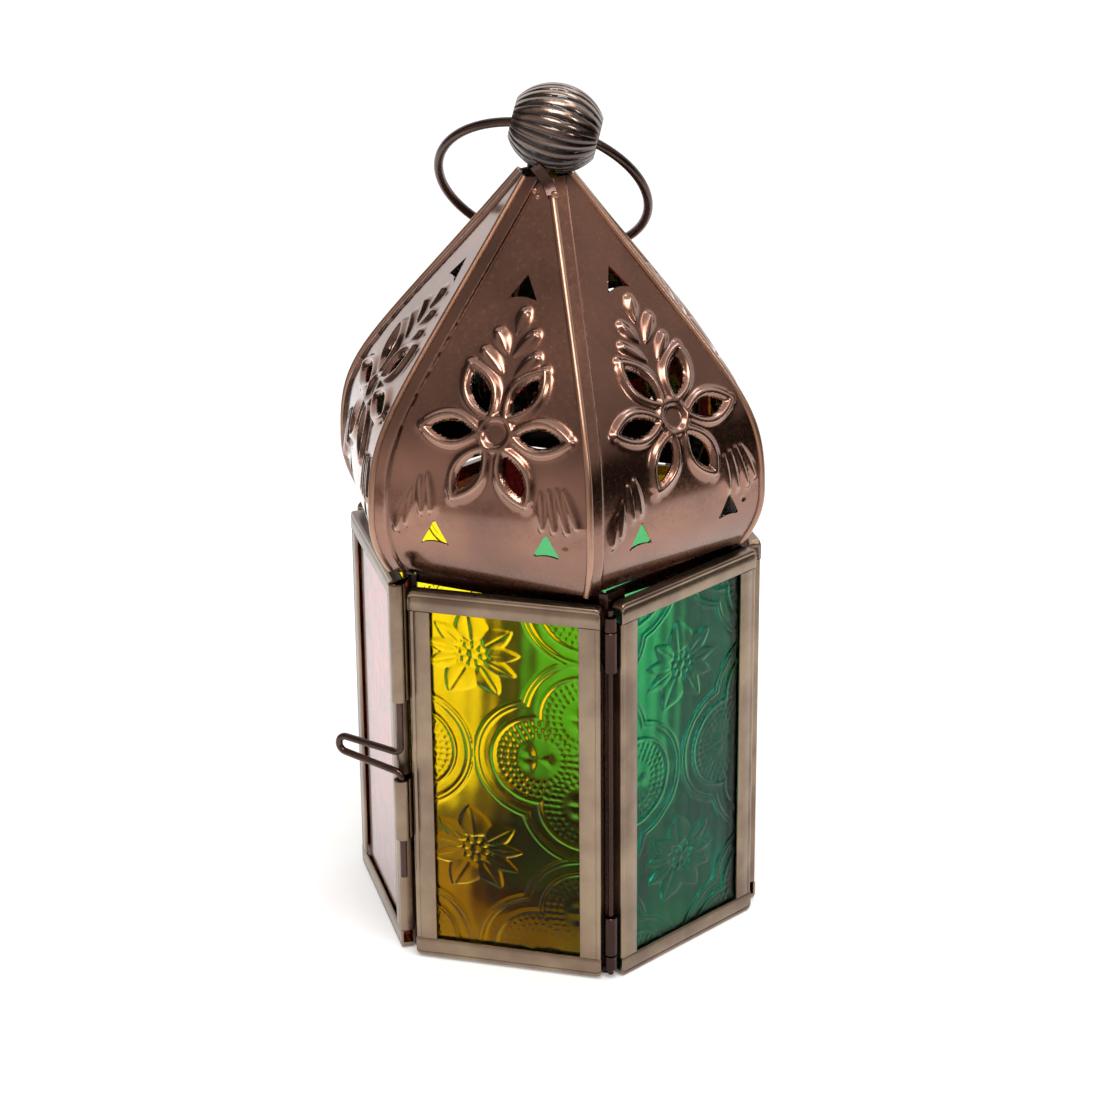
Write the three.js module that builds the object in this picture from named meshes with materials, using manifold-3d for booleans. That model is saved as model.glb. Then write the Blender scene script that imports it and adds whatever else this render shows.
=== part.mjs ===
// A small six-sided tea-light lantern: framed coloured glass under a pierced sheet-metal roof,
// with a fluted bead and a carrying ring on top. The front frame is a door on a wire hinge pin,
// and a bent wire in two sleeves along its free edge is its bolt, which lifts by a finger loop.
//
// Millimetres and degrees, +Z up. The origin is the centre of the underside of the base plate.
// Side 0 is the door, facing -Y, and the sides are numbered counter-clockwise seen from above.

import * as THREE from "three";
import { mergeVertices } from "three/addons/utils/BufferGeometryUtils.js";
import Module from "manifold-3d";

// Clearance left between separate pieces.
const CLEARANCE = 0.3;

// Body and frames.
const SIDES = 6;
const BODY_APOTHEM = 40;
const CORNER_GAP = 2.7;
const FRAME_HEIGHT = 86.5;
const FRAME_DEPTH = 3;
const STILE_WIDTH = 4.6;
const RAIL_WIDTH = 4.4;
const FRAME_CORNER_RADIUS = 1.2;
const FRAME_EDGE_BEVEL = 0.45;
const GLASS_THICKNESS = 1.4;
const GLASS_HOLD = 2.4;

// Corner posts, base plate and candle cup.
const POST_THICKNESS = 1;
const POST_LEG = 5;
const DOOR_STOP_LEG = 1.8;
const BASE_THICKNESS = 1.2;
const CANDLE_RADIUS = 19;
const CANDLE_PLAY = 0.6;
const CUP_WALL = 0.8;
const CUP_HEIGHT = 8;

// Door hinge.
const DOOR_LIFT = 0.5;
const PIN_RADIUS = 0.6;
const KNUCKLE_WALL = 0.5;
const KNUCKLE_LENGTH = 9;
const BRACKET_LENGTH = 3;
const BRACKET_LEG_WIDTH = 1.2;
const HINGE_INSET = 4;

// Latch on the door's free edge: two sleeves and one wire bent into a finger loop between them.
// Heights are above the door frame's foot.
const LATCH_WIRE_RADIUS = 0.75;
const SLEEVE_WALL = 0.65;
const SLEEVE_PLAY = 0.2;
const SLEEVE_DOOR_GAP = 0.4;
const SLEEVE_LEAF_THICKNESS = 0.8;
const SLEEVE_RISE = 1.8;
const UPPER_SLEEVE_LENGTH = 26.4;
const LOWER_SLEEVE_LENGTH = 13.8;
const LOWER_SLEEVE_FOOT = 28.7;
const LATCH_WIRE_BELOW = 9.2;
const LOOP_GAP = 4.6;
const LOOP_REACH = 15.2;
const LOOP_TIP_RADIUS = 1.75;
const LOOP_TIP_DROP = 0.8;
const LOOP_REST_ANGLE = 14;

// Roof: six gores, bent in one direction only, so each level is a plain hexagon.
const RIM_GAP = 1.9;
const RIM_RADIUS = 42.8;
const BELLY_RADIUS = 47.2;
const BELLY_HEIGHT = 12.2;
const SHOULDER_RADIUS = 42.5;
const SHOULDER_HEIGHT = 32.6;
const CROWN_RADIUS = 5.8;
const ROOF_HEIGHT = 76.5;
const SHEET_THICKNESS = 0.8;
const HEM_RADIUS = 0.5;
const ROOF_TWIST = -4.8;
const ROOF_SHIFT_X = -0.9;
const ROOF_SHIFT_Y = -0.3;

// Pierced ornament, measured on the sheet: across it from its centre line, and along it.
const ORNAMENT_OFFSET = 2.2;
const FLOWER_HEIGHT = 34;
const PETAL_COUNT = 6;
const PETAL_INNER = 4.8;
const PETAL_OUTER = 14;
const PETAL_WIDTH = 3.6;
const TOP_TRIANGLE_HEIGHT = 62.2;
const LOW_TRIANGLE_HEIGHT = 9.3;
const LOW_TRIANGLE_SPREAD = 12;
const TRIANGLE_WIDTH = 6.2;
const TRIANGLE_RISE = 5.6;
const TRIANGLE_HOLLOW = 1.4;

// Bead, strap and carrying ring.
const BEAD_RADIUS = 9.65;
const BEAD_FLUTES = 18;
const FLUTE_DEPTH = 0.5;
const BEAD_SEAT_GAP = 0.5;
const BEAD_SHIFT = 1.2;
const RING_RADIUS = 22.5;
const RING_WIRE_RADIUS = 1;
const RING_YAW = 9.4;
const RING_DIP = 13.8;
const STRAP_WIDTH = 3.3;
const STRAP_THICKNESS = 0.6;
const STRAP_TOP_ANGLE = 38;
const STRAP_ON_ROOF = 5.5;

// How finely round surfaces are faceted.
const TUBE_SIDES = 16;
const PIN_SIDES = 12;
const WIRE_SIDES = 8;
const HEM_SIDES = 6;
const CUP_SIDES = 36;
const RING_STEPS = 48;
const BEND_STEPS = 5;

const rad = THREE.MathUtils.degToRad;
const HALF_SIDE_ANGLE = rad(180 / SIDES);
const SIDE_ANGLE = 2 * HALF_SIDE_ANGLE;

// Sizes that follow from those above.
const sideLength = 2 * BODY_APOTHEM * Math.tan(HALF_SIDE_ANGLE);
const frameWidth = sideLength - 2 * CORNER_GAP;
const frameBack = BODY_APOTHEM - FRAME_DEPTH;
const postApothem = frameBack - CLEARANCE;
const postVertex = postApothem / Math.cos(HALF_SIDE_ANGLE);
const baseApothem = postApothem - POST_THICKNESS - CLEARANCE;
const rimHeight = FRAME_HEIGHT + RIM_GAP;
const postHeight = rimHeight - CLEARANCE;
const crownHeight = rimHeight + ROOF_HEIGHT;

const wasm = await Module();
wasm.setup();

const bronze = { color: 0x96806f, roughness: 0.38, metalness: 0.9 };
const darkBronze = { color: 0x5f4336, roughness: 0.42, metalness: 0.9 };
const brightWire = { color: 0xa9907e, roughness: 0.3, metalness: 0.95 };

function glassOf(color) {
  return { color, roughness: 0.12, metalness: 0, transparent: true, opacity: 0.75 };
}

const glassColours = [0xd9a21a, 0x0e7a4a, 0xb01f1c, 0x0e7a4a, 0xd9a21a, 0xc2333f];

const lantern = new THREE.Group();

// Adds one named piece to a group, with a material of its own.
function add(group, name, geometry, finish) {
  const mesh = new THREE.Mesh(geometry, new THREE.MeshStandardMaterial(finish));
  mesh.name = name;
  group.add(mesh);
  return mesh;
}

// A group turned about the vertical axis, so that its own -Y points out of the lantern.
function turned(parent, angle) {
  const group = new THREE.Group();
  group.rotation.z = angle;
  parent.add(group);
  return group;
}

function toSolid(geometry) {
  const bare = geometry.clone();
  bare.deleteAttribute("normal");
  bare.deleteAttribute("uv");
  const merged = mergeVertices(bare, 1e-4);
  const vertProperties = new Float32Array(merged.attributes.position.array);
  const triVerts = new Uint32Array(merged.index.array);
  return new wasm.Manifold(new wasm.Mesh({ numProp: 3, vertProperties, triVerts }));
}

function toGeometry(solid) {
  const mesh = solid.getMesh();
  const geometry = new THREE.BufferGeometry();
  geometry.setAttribute("position", new THREE.BufferAttribute(mesh.vertProperties, 3));
  geometry.setIndex(new THREE.BufferAttribute(mesh.triVerts, 1));
  return geometry;
}

function extrude(shape, depth, options = {}) {
  return new THREE.ExtrudeGeometry(shape, { depth, bevelEnabled: false, ...options });
}

function polygon(points) {
  return new THREE.Shape(points.map(([x, y]) => new THREE.Vector2(x, y)));
}

function rectangle(width, height, cornerRadius = 0) {
  const x = width / 2;
  const y = height / 2;
  if (cornerRadius === 0) return polygon([[-x, -y], [x, -y], [x, y], [-x, y]]);
  const shape = new THREE.Shape();
  shape.moveTo(-x + cornerRadius, -y);
  shape.lineTo(x - cornerRadius, -y);
  shape.absarc(x - cornerRadius, -y + cornerRadius, cornerRadius, -Math.PI / 2, 0);
  shape.absarc(x - cornerRadius, y - cornerRadius, cornerRadius, 0, Math.PI / 2);
  shape.absarc(-x + cornerRadius, y - cornerRadius, cornerRadius, Math.PI / 2, Math.PI);
  shape.absarc(-x + cornerRadius, -y + cornerRadius, cornerRadius, Math.PI, 1.5 * Math.PI);
  return shape;
}

// A round tube standing on z = 0.
function tube(outer, inner, length) {
  const profile = [[inner, 0], [outer, 0], [outer, length], [inner, length], [inner, 0]];
  const points = profile.map(([r, z]) => new THREE.Vector2(r, z));
  return new THREE.LatheGeometry(points, TUBE_SIDES).rotateX(Math.PI / 2);
}

// A drill for the bore of an upright tube, longer than the tube at both ends.
function drill(radius, length) {
  return new THREE.CylinderGeometry(radius, radius, 3 * length, TUBE_SIDES).rotateX(Math.PI / 2);
}

// A path through given stations, straight between them, whose cross-section is mitred at each.
class BentPath extends THREE.Curve {
  constructor(stations) {
    super();
    this.stations = stations;
  }

  getPoint(t, target = new THREE.Vector3()) {
    const place = t * (this.stations.length - 1);
    const i = Math.min(Math.floor(place), this.stations.length - 2);
    return target.lerpVectors(this.stations[i], this.stations[i + 1], place - i);
  }

  getTangent(t, target = new THREE.Vector3()) {
    const i = Math.round(t * (this.stations.length - 1));
    const here = this.stations[i];
    target.set(0, 0, 0);
    for (const [from, to] of [[this.stations[i - 1], here], [here, this.stations[i + 1]]]) {
      if (from && to) target.add(to.clone().sub(from).normalize());
    }
    return target.normalize();
  }

  getUtoTmapping(u) {
    return u;
  }
}

// A round wire along stations.
function wire(stations, radius, sides) {
  const turns = Array.from({ length: sides }, (_, i) => (2 * Math.PI * i) / sides);
  const section = polygon(turns.map((a) => [radius * Math.cos(a), radius * Math.sin(a)]));
  return extrude(section, 0, { steps: stations.length - 1, extrudePath: new BentPath(stations) });
}

// Stations of a flat path in the X-Z plane whose corners are rounded.
function roundedPath(corners) {
  const stations = [];
  corners.forEach(([x, z, radius], i) => {
    const here = new THREE.Vector3(x, 0, z);
    if (!radius) {
      stations.push(here);
      return;
    }
    const before = new THREE.Vector3(corners[i - 1][0], 0, corners[i - 1][1]).sub(here).normalize();
    const after = new THREE.Vector3(corners[i + 1][0], 0, corners[i + 1][1]).sub(here).normalize();
    const half = before.angleTo(after) / 2;
    const setback = radius / Math.tan(half);
    const centre = before.clone().add(after).normalize().multiplyScalar(radius / Math.sin(half)).add(here);
    const start = before.multiplyScalar(setback).add(here).sub(centre);
    const end = after.multiplyScalar(setback).add(here).sub(centre);
    const sweep = start.angleTo(end);
    const axis = start.clone().cross(end).normalize();
    for (let s = 0; s <= BEND_STEPS; s++) {
      stations.push(start.clone().applyAxisAngle(axis, (sweep * s) / BEND_STEPS).add(centre));
    }
  });
  return stations;
}

// Panel frames and their panes

const windowWidth = frameWidth - 2 * STILE_WIDTH;
const paneWidth = windowWidth + 2 * GLASS_HOLD;

// A folded channel round a window, standing on z = 0 with its front face at y = 0.
function panelFrame(height) {
  const outline = rectangle(frameWidth, height, FRAME_CORNER_RADIUS);
  const windowHeight = height - 2 * RAIL_WIDTH;
  outline.holes.push(rectangle(windowWidth, windowHeight));
  const bar = extrude(outline, FRAME_DEPTH - 2 * FRAME_EDGE_BEVEL, {
    curveSegments: 3,
    bevelEnabled: true,
    bevelSize: FRAME_EDGE_BEVEL,
    bevelThickness: FRAME_EDGE_BEVEL,
    bevelOffset: -FRAME_EDGE_BEVEL,
    bevelSegments: 1,
  });
  bar.translate(0, 0, FRAME_EDGE_BEVEL);
  const grooveWidth = paneWidth + 2 * CLEARANCE;
  const grooveHeight = windowHeight + 2 * (GLASS_HOLD + CLEARANCE);
  const grooveDepth = GLASS_THICKNESS + 2 * CLEARANCE;
  const groove = extrude(rectangle(grooveWidth, grooveHeight), grooveDepth);
  groove.translate(0, 0, (FRAME_DEPTH - grooveDepth) / 2);
  const frame = toGeometry(toSolid(bar).subtract(toSolid(groove)));
  return frame.rotateX(Math.PI / 2).translate(0, FRAME_DEPTH, height / 2);
}

function pane(height) {
  const paneHeight = height - 2 * RAIL_WIDTH + 2 * GLASS_HOLD;
  const glass = extrude(rectangle(paneWidth, paneHeight), GLASS_THICKNESS);
  glass.translate(0, 0, (FRAME_DEPTH - GLASS_THICKNESS) / 2);
  return glass.rotateX(Math.PI / 2).translate(0, FRAME_DEPTH, height / 2);
}

for (let side = 1; side < SIDES; side++) {
  const wall = turned(lantern, side * SIDE_ANGLE);
  const frame = add(wall, `panel_frame_${side}`, panelFrame(FRAME_HEIGHT), bronze);
  const glass = add(wall, `glass_pane_${side}`, pane(FRAME_HEIGHT), glassOf(glassColours[side]));
  frame.position.y = -BODY_APOTHEM;
  glass.position.y = -BODY_APOTHEM;
}

// Corner posts, each a folded angle behind the frames on both sides of its corner. The legs
// beside the door are short, so that a candle passes between them.

function cornerPost(leftLeg, rightLeg) {
  const along = (side, length) => [
    side * length * Math.cos(HALF_SIDE_ANGLE),
    -postVertex + length * Math.sin(HALF_SIDE_ANGLE),
  ];
  const inward = (side, [x, y]) => [
    x - side * POST_THICKNESS * Math.sin(HALF_SIDE_ANGLE),
    y + POST_THICKNESS * Math.cos(HALF_SIDE_ANGLE),
  ];
  const right = along(1, rightLeg);
  const left = along(-1, leftLeg);
  const innerVertex = [0, -postVertex + POST_THICKNESS / Math.cos(HALF_SIDE_ANGLE)];
  const outline = [[0, -postVertex], right, inward(1, right), innerVertex, inward(-1, left), left];
  return extrude(polygon(outline), postHeight);
}

for (let corner = 0; corner < SIDES; corner++) {
  const place = turned(lantern, HALF_SIDE_ANGLE + corner * SIDE_ANGLE);
  const leftLeg = corner === 0 ? DOOR_STOP_LEG : POST_LEG;
  const rightLeg = corner === SIDES - 1 ? DOOR_STOP_LEG : POST_LEG;
  add(place, `corner_post_${corner + 1}`, cornerPost(leftLeg, rightLeg), darkBronze);
}

// Base plate and candle cup

function hexagon(apothem) {
  const radius = apothem / Math.cos(HALF_SIDE_ANGLE);
  const corners = Array.from({ length: SIDES }, (_, i) => HALF_SIDE_ANGLE + i * SIDE_ANGLE);
  return polygon(corners.map((a) => [radius * Math.sin(a), -radius * Math.cos(a)]));
}

add(lantern, "base_plate", extrude(hexagon(baseApothem), BASE_THICKNESS), darkBronze);

const cupBore = CANDLE_RADIUS + CANDLE_PLAY;
const cupRadius = cupBore + CUP_WALL;
const cupProfile = [
  [0, 0],
  [cupRadius, 0],
  [cupRadius, CUP_HEIGHT],
  [cupBore, CUP_HEIGHT],
  [cupBore, CUP_WALL],
  [0, CUP_WALL],
].map(([r, z]) => new THREE.Vector2(r, z));
const cup = new THREE.LatheGeometry(cupProfile, CUP_SIDES).rotateX(Math.PI / 2);
add(lantern, "candle_cup", cup, darkBronze).position.z = BASE_THICKNESS + CLEARANCE;

// Door, hinged at the corner on its right

const doorHeight = FRAME_HEIGHT - 2 * DOOR_LIFT;
const door = new THREE.Group();
door.position.z = DOOR_LIFT;
lantern.add(door);
add(door, "door_frame", panelFrame(doorHeight), bronze).position.y = -BODY_APOTHEM;
add(door, "door_glass", pane(doorHeight), glassOf(glassColours[0])).position.y = -BODY_APOTHEM;

const knuckleBore = PIN_RADIUS + CLEARANCE;
const knuckleRadius = knuckleBore + KNUCKLE_WALL;
const knuckleRoom = knuckleRadius + CLEARANCE;
const besideDoor = (frameWidth / 2 + knuckleRoom) / Math.sin(HALF_SIDE_ANGLE);
const pinDistance = Math.max(besideDoor, postVertex + knuckleRoom);

const hinge = turned(lantern, HALF_SIDE_ANGLE);
const pinFoot = HINGE_INSET - BRACKET_LENGTH;
const pinLength = FRAME_HEIGHT - 2 * pinFoot;
const pin = new THREE.CylinderGeometry(PIN_RADIUS, PIN_RADIUS, pinLength, PIN_SIDES);
pin.rotateX(Math.PI / 2);
add(hinge, "hinge_pin", pin, brightWire).position.set(0, -pinDistance, FRAME_HEIGHT / 2);

// A ring round the pin on a leg that reaches in to the corner post.
function hingeBracket() {
  const legLength = pinDistance - postVertex - CLEARANCE - PIN_RADIUS - CLEARANCE;
  const leg = extrude(rectangle(BRACKET_LEG_WIDTH, legLength), BRACKET_LENGTH);
  leg.translate(0, PIN_RADIUS + CLEARANCE + legLength / 2, 0);
  const ring = tube(knuckleRadius, knuckleBore, BRACKET_LENGTH);
  const bore = drill(knuckleBore, BRACKET_LENGTH);
  return toGeometry(toSolid(ring).add(toSolid(leg)).subtract(toSolid(bore)));
}

const bracketPlaces = {
  lower: HINGE_INSET - BRACKET_LENGTH / 2,
  upper: FRAME_HEIGHT - HINGE_INSET - BRACKET_LENGTH / 2,
};
for (const [name, z] of Object.entries(bracketPlaces)) {
  add(hinge, `hinge_bracket_${name}`, hingeBracket(), darkBronze).position.set(0, -pinDistance, z);
}

const knucklePlaces = {
  lower: bracketPlaces.lower + BRACKET_LENGTH + CLEARANCE,
  upper: bracketPlaces.upper - CLEARANCE - KNUCKLE_LENGTH,
};
for (const [name, z] of Object.entries(knucklePlaces)) {
  const knuckle = tube(knuckleRadius, knuckleBore, KNUCKLE_LENGTH);
  add(hinge, `hinge_knuckle_${name}`, knuckle, bronze).position.set(0, -pinDistance, z);
}

// Latch along the door's left edge

const sleeveBore = LATCH_WIRE_RADIUS + SLEEVE_PLAY;
const sleeveRadius = sleeveBore + SLEEVE_WALL;
const latch = new THREE.Group();
latch.position.x = -(frameWidth / 2 + SLEEVE_DOOR_GAP + sleeveRadius);
latch.position.y = -(BODY_APOTHEM + LATCH_WIRE_RADIUS + CLEARANCE);
door.add(latch);

// A rolled sleeve whose leaf lies along the edge of the door frame.
function latchSleeve(length) {
  const leafBack = -(frameBack + CLEARANCE) - latch.position.y;
  const leafRight = sleeveRadius + SLEEVE_DOOR_GAP - CLEARANCE;
  const leaf = extrude(rectangle(SLEEVE_LEAF_THICKNESS, leafBack), length);
  leaf.translate(leafRight - SLEEVE_LEAF_THICKNESS / 2, leafBack / 2, 0);
  const rolled = toSolid(tube(sleeveRadius, sleeveBore, length));
  return toGeometry(rolled.add(toSolid(leaf)).subtract(toSolid(drill(sleeveBore, length))));
}

const upperSleeveTop = doorHeight + SLEEVE_RISE;
const upperSleeveFoot = upperSleeveTop - UPPER_SLEEVE_LENGTH;
const lowerSleeveTop = LOWER_SLEEVE_FOOT + LOWER_SLEEVE_LENGTH;
const upperSleeve = add(latch, "latch_sleeve_upper", latchSleeve(UPPER_SLEEVE_LENGTH), bronze);
upperSleeve.position.z = upperSleeveFoot;
const lowerSleeve = add(latch, "latch_sleeve_lower", latchSleeve(LOWER_SLEEVE_LENGTH), bronze);
lowerSleeve.position.z = LOWER_SLEEVE_FOOT;

// The loop's lower bend stands on the lower sleeve, and lifts until its upper bend meets the
// upper sleeve. The wire's top stays inside that sleeve all the way.
const bendRadius = 2 * LATCH_WIRE_RADIUS;
const loopFoot = lowerSleeveTop + bendRadius;
const loopTop = loopFoot + LOOP_GAP;
const latchLift = upperSleeveFoot - bendRadius - loopTop;
const latchWireTop = upperSleeveTop - CLEARANCE - latchLift;
const latchWireFoot = LOWER_SLEEVE_FOOT - LATCH_WIRE_BELOW;
const loopTipHeight = loopTop - LOOP_TIP_DROP;
const latchStations = roundedPath([
  [0, latchWireTop],
  [0, loopTop, bendRadius],
  [LOOP_REACH, loopTipHeight + LOOP_TIP_RADIUS, LOOP_TIP_RADIUS],
  [LOOP_REACH, loopTipHeight - LOOP_TIP_RADIUS, LOOP_TIP_RADIUS],
  [0, loopFoot, bendRadius],
  [0, latchWireFoot],
]);
const latchWire = wire(latchStations, LATCH_WIRE_RADIUS, WIRE_SIDES);
add(latch, "latch_wire", latchWire, brightWire).rotation.z = Math.PI - rad(LOOP_REST_ANGLE);

// Roof gores

const roof = turned(lantern, rad(ROOF_TWIST));
roof.position.set(ROOF_SHIFT_X, ROOF_SHIFT_Y, rimHeight);

// The profile of a gore at its middle, from rim to crown, as distance from the axis and height.
const flat = Math.cos(HALF_SIDE_ANGLE);
const middle = (radius, height) => new THREE.Vector2(radius * flat, height);
const goreCurve = new THREE.CurvePath();
goreCurve.add(new THREE.QuadraticBezierCurve(
  middle(RIM_RADIUS, 0), middle(BELLY_RADIUS, BELLY_HEIGHT / 2), middle(BELLY_RADIUS, BELLY_HEIGHT)));
goreCurve.add(new THREE.CubicBezierCurve(
  middle(BELLY_RADIUS, BELLY_HEIGHT), middle(BELLY_RADIUS, SHOULDER_HEIGHT),
  middle(SHOULDER_RADIUS, SHOULDER_HEIGHT), middle(CROWN_RADIUS, ROOF_HEIGHT)));

const lowerBends = 4;
const upperBends = 10;
const goreProfile = [
  ...goreCurve.curves[0].getSpacedPoints(lowerBends).slice(0, -1),
  ...goreCurve.curves[1].getSpacedPoints(upperBends),
];

// Unit normal out of the sheet at one station of the profile.
function profileNormal(i) {
  const before = goreProfile[Math.max(i - 1, 0)];
  const after = goreProfile[Math.min(i + 1, goreProfile.length - 1)];
  const along = after.clone().sub(before).normalize();
  return new THREE.Vector2(along.y, -along.x);
}

// The sheet's middle line at a distance along it from the rim: place, direction and normal.
function onSheet(distance) {
  let left = distance;
  for (let i = 0; i + 1 < goreProfile.length; i++) {
    const step = goreProfile[i].distanceTo(goreProfile[i + 1]);
    if (left <= step || i + 2 === goreProfile.length) {
      const along = goreProfile[i + 1].clone().sub(goreProfile[i]).normalize();
      const place = goreProfile[i].clone().addScaledVector(along, left);
      return { place, along, normal: new THREE.Vector2(along.y, -along.x) };
    }
    left -= step;
  }
}

// The gore's own -Y points out, so a profile distance becomes a negative y.
const profileBasis = new THREE.Matrix4().makeBasis(
  new THREE.Vector3(0, -1, 0), new THREE.Vector3(0, 0, 1), new THREE.Vector3(-1, 0, 0));

function goreSheet() {
  const inner = goreProfile.map((p, i) => p.clone().addScaledVector(profileNormal(i), -SHEET_THICKNESS));
  const outline = new THREE.Shape([...goreProfile, ...inner.reverse()]);
  const width = 2 * BELLY_RADIUS;
  return extrude(outline, width).applyMatrix4(profileBasis).translate(width / 2, 0, 0);
}

// The wedge that one gore fills: up to the ridge on its right, and clear of the next hem on its left.
function goreWedge() {
  const reach = 2 * BELLY_RADIUS;
  const leftShift = (HEM_RADIUS + CLEARANCE) / Math.cos(HALF_SIDE_ANGLE);
  const x = reach * Math.tan(HALF_SIDE_ANGLE);
  const apex = [leftShift / 2, -leftShift / 2 / Math.tan(HALF_SIDE_ANGLE)];
  const outline = polygon([[-x + leftShift, -reach], [x, -reach], apex]);
  return extrude(outline, 2 * ROOF_HEIGHT).translate(0, 0, -ROOF_HEIGHT / 2);
}

// The folded hem along the ridge on the right of a gore, standing a little proud of the sheet.
function goreHem() {
  const proud = HEM_RADIUS / 4;
  const stations = goreProfile.map((p, i) => {
    const radius = p.x / flat;
    const lift = profileNormal(i).multiplyScalar(proud);
    const out = radius + lift.x;
    return new THREE.Vector3(out * Math.sin(HALF_SIDE_ANGLE), -out * flat, p.y + lift.y);
  });
  const ends = [stations[0], stations[stations.length - 1]];
  const inside = [stations[1], stations[stations.length - 2]];
  ends.forEach((end, i) => end.addScaledVector(end.clone().sub(inside[i]).normalize(), HEM_RADIUS));
  return wire(stations, HEM_RADIUS, HEM_SIDES);
}

// A punch through the sheet at a place on it, from an outline in sheet coordinates.
function punch(across, along, shape) {
  const { place, along: up, normal } = onSheet(along);
  const depth = 8 * SHEET_THICKNESS;
  const basis = new THREE.Matrix4().makeBasis(
    new THREE.Vector3(1, 0, 0),
    new THREE.Vector3(0, -up.x, up.y),
    new THREE.Vector3(0, -normal.x, normal.y),
  );
  basis.setPosition(across + ORNAMENT_OFFSET, -place.x, place.y);
  return extrude(shape, depth, { curveSegments: 3 }).translate(0, 0, -depth / 2).applyMatrix4(basis);
}

// A petal pointed at both tips, about its own centre, lying at an angle.
function petalShape(angle) {
  const length = PETAL_OUTER - PETAL_INNER;
  const tip = new THREE.Vector2(length / 2, 0).rotateAround(new THREE.Vector2(), angle);
  const side = new THREE.Vector2(0, PETAL_WIDTH).rotateAround(new THREE.Vector2(), angle);
  const shape = new THREE.Shape();
  shape.moveTo(-tip.x, -tip.y);
  shape.quadraticCurveTo(-side.x, -side.y, tip.x, tip.y);
  shape.quadraticCurveTo(side.x, side.y, -tip.x, -tip.y);
  return shape;
}

// An upright triangle with a hollow foot, on its base line.
function triangleShape() {
  const x = TRIANGLE_WIDTH / 2;
  const shape = new THREE.Shape();
  shape.moveTo(-x, 0);
  shape.quadraticCurveTo(0, TRIANGLE_HOLLOW, x, 0);
  shape.lineTo(0, TRIANGLE_RISE);
  return shape;
}

function punches() {
  const list = [punch(0, TOP_TRIANGLE_HEIGHT, triangleShape())];
  for (let i = 0; i < PETAL_COUNT; i++) {
    const angle = (2 * Math.PI * i) / PETAL_COUNT;
    const distance = (PETAL_INNER + PETAL_OUTER) / 2;
    const across = distance * Math.cos(angle);
    const along = FLOWER_HEIGHT + distance * Math.sin(angle);
    list.push(punch(across, along, petalShape(angle)));
  }
  for (const side of [-1, 1]) {
    list.push(punch(side * LOW_TRIANGLE_SPREAD, LOW_TRIANGLE_HEIGHT, triangleShape()));
  }
  return list;
}

function gore() {
  let sheet = toSolid(goreSheet()).intersect(toSolid(goreWedge()));
  for (const tool of punches()) sheet = sheet.subtract(toSolid(tool));
  const whole = sheet.add(toSolid(goreHem()));
  const slab = extrude(hexagon(2 * BELLY_RADIUS), ROOF_HEIGHT);
  return toGeometry(whole.intersect(toSolid(slab)));
}

for (let side = 0; side < SIDES; side++) {
  const place = turned(roof, side * SIDE_ANGLE);
  add(place, `roof_gore_${side + 1}`, gore(), darkBronze);
}

// Bead on the crown, with a bore that widens to both ends for the curved ring

const crownInner = goreProfile[goreProfile.length - 1].x - SHEET_THICKNESS;
const beadHeight = crownHeight + BEAD_SEAT_GAP + Math.sqrt(BEAD_RADIUS ** 2 - crownInner ** 2);
const beadCentre = new THREE.Vector3(BEAD_SHIFT, 0, beadHeight);

const yaw = rad(RING_YAW);
const dip = rad(RING_DIP);
const ringAxis = new THREE.Vector3(
  Math.cos(yaw) * Math.cos(dip),
  Math.sin(yaw) * Math.cos(dip),
  -Math.sin(dip),
);

function ringSag(offset) {
  return RING_RADIUS - Math.sqrt(RING_RADIUS ** 2 - offset ** 2);
}

function beadGeometry() {
  const boreAt = (offset) => ringSag(offset) + RING_WIRE_RADIUS + CLEARANCE;
  const mouth = boreAt(BEAD_RADIUS) + FLUTE_DEPTH;
  const halfLength = Math.sqrt(BEAD_RADIUS ** 2 - mouth ** 2);
  const endAngle = Math.asin(halfLength / BEAD_RADIUS);
  const outside = 10;
  const inside = 6;
  const profile = [];
  for (let i = 0; i <= outside; i++) {
    const angle = endAngle * (1 - (2 * i) / outside);
    profile.push(new THREE.Vector2(BEAD_RADIUS * Math.cos(angle), -BEAD_RADIUS * Math.sin(angle)));
  }
  for (let i = 0; i <= inside; i++) {
    const offset = halfLength * (1 - (2 * i) / inside);
    profile.push(new THREE.Vector2(boreAt(offset), offset));
  }
  profile.push(profile[0].clone());
  const bead = new THREE.LatheGeometry(profile, 2 * BEAD_FLUTES);
  const place = bead.attributes.position;
  const radial = new THREE.Vector2();
  for (let i = 0; i < place.count; i++) {
    const onOutside = i % profile.length > 0 && i % profile.length < outside;
    const inGroove = Math.floor(i / profile.length) % 2 === 1;
    if (!onOutside || !inGroove) continue;
    radial.set(place.getX(i), place.getZ(i));
    radial.setLength(radial.length() - FLUTE_DEPTH);
    place.setX(i, radial.x);
    place.setZ(i, radial.y);
  }
  return bead;
}

const bead = add(lantern, "finial_bead", beadGeometry(), darkBronze);
bead.position.copy(beadCentre);
bead.quaternion.setFromUnitVectors(new THREE.Vector3(0, 1, 0), ringAxis);

// Carrying ring, leaning back until it rests on the roof

const level = new THREE.Vector3(-Math.sin(yaw), Math.cos(yaw), 0);
const straightDown = new THREE.Vector3().crossVectors(ringAxis, level).normalize();
if (straightDown.z > 0) straightDown.negate();

function ringDirection(lean) {
  return straightDown.clone().multiplyScalar(Math.cos(lean)).addScaledVector(level, Math.sin(lean));
}

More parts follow.
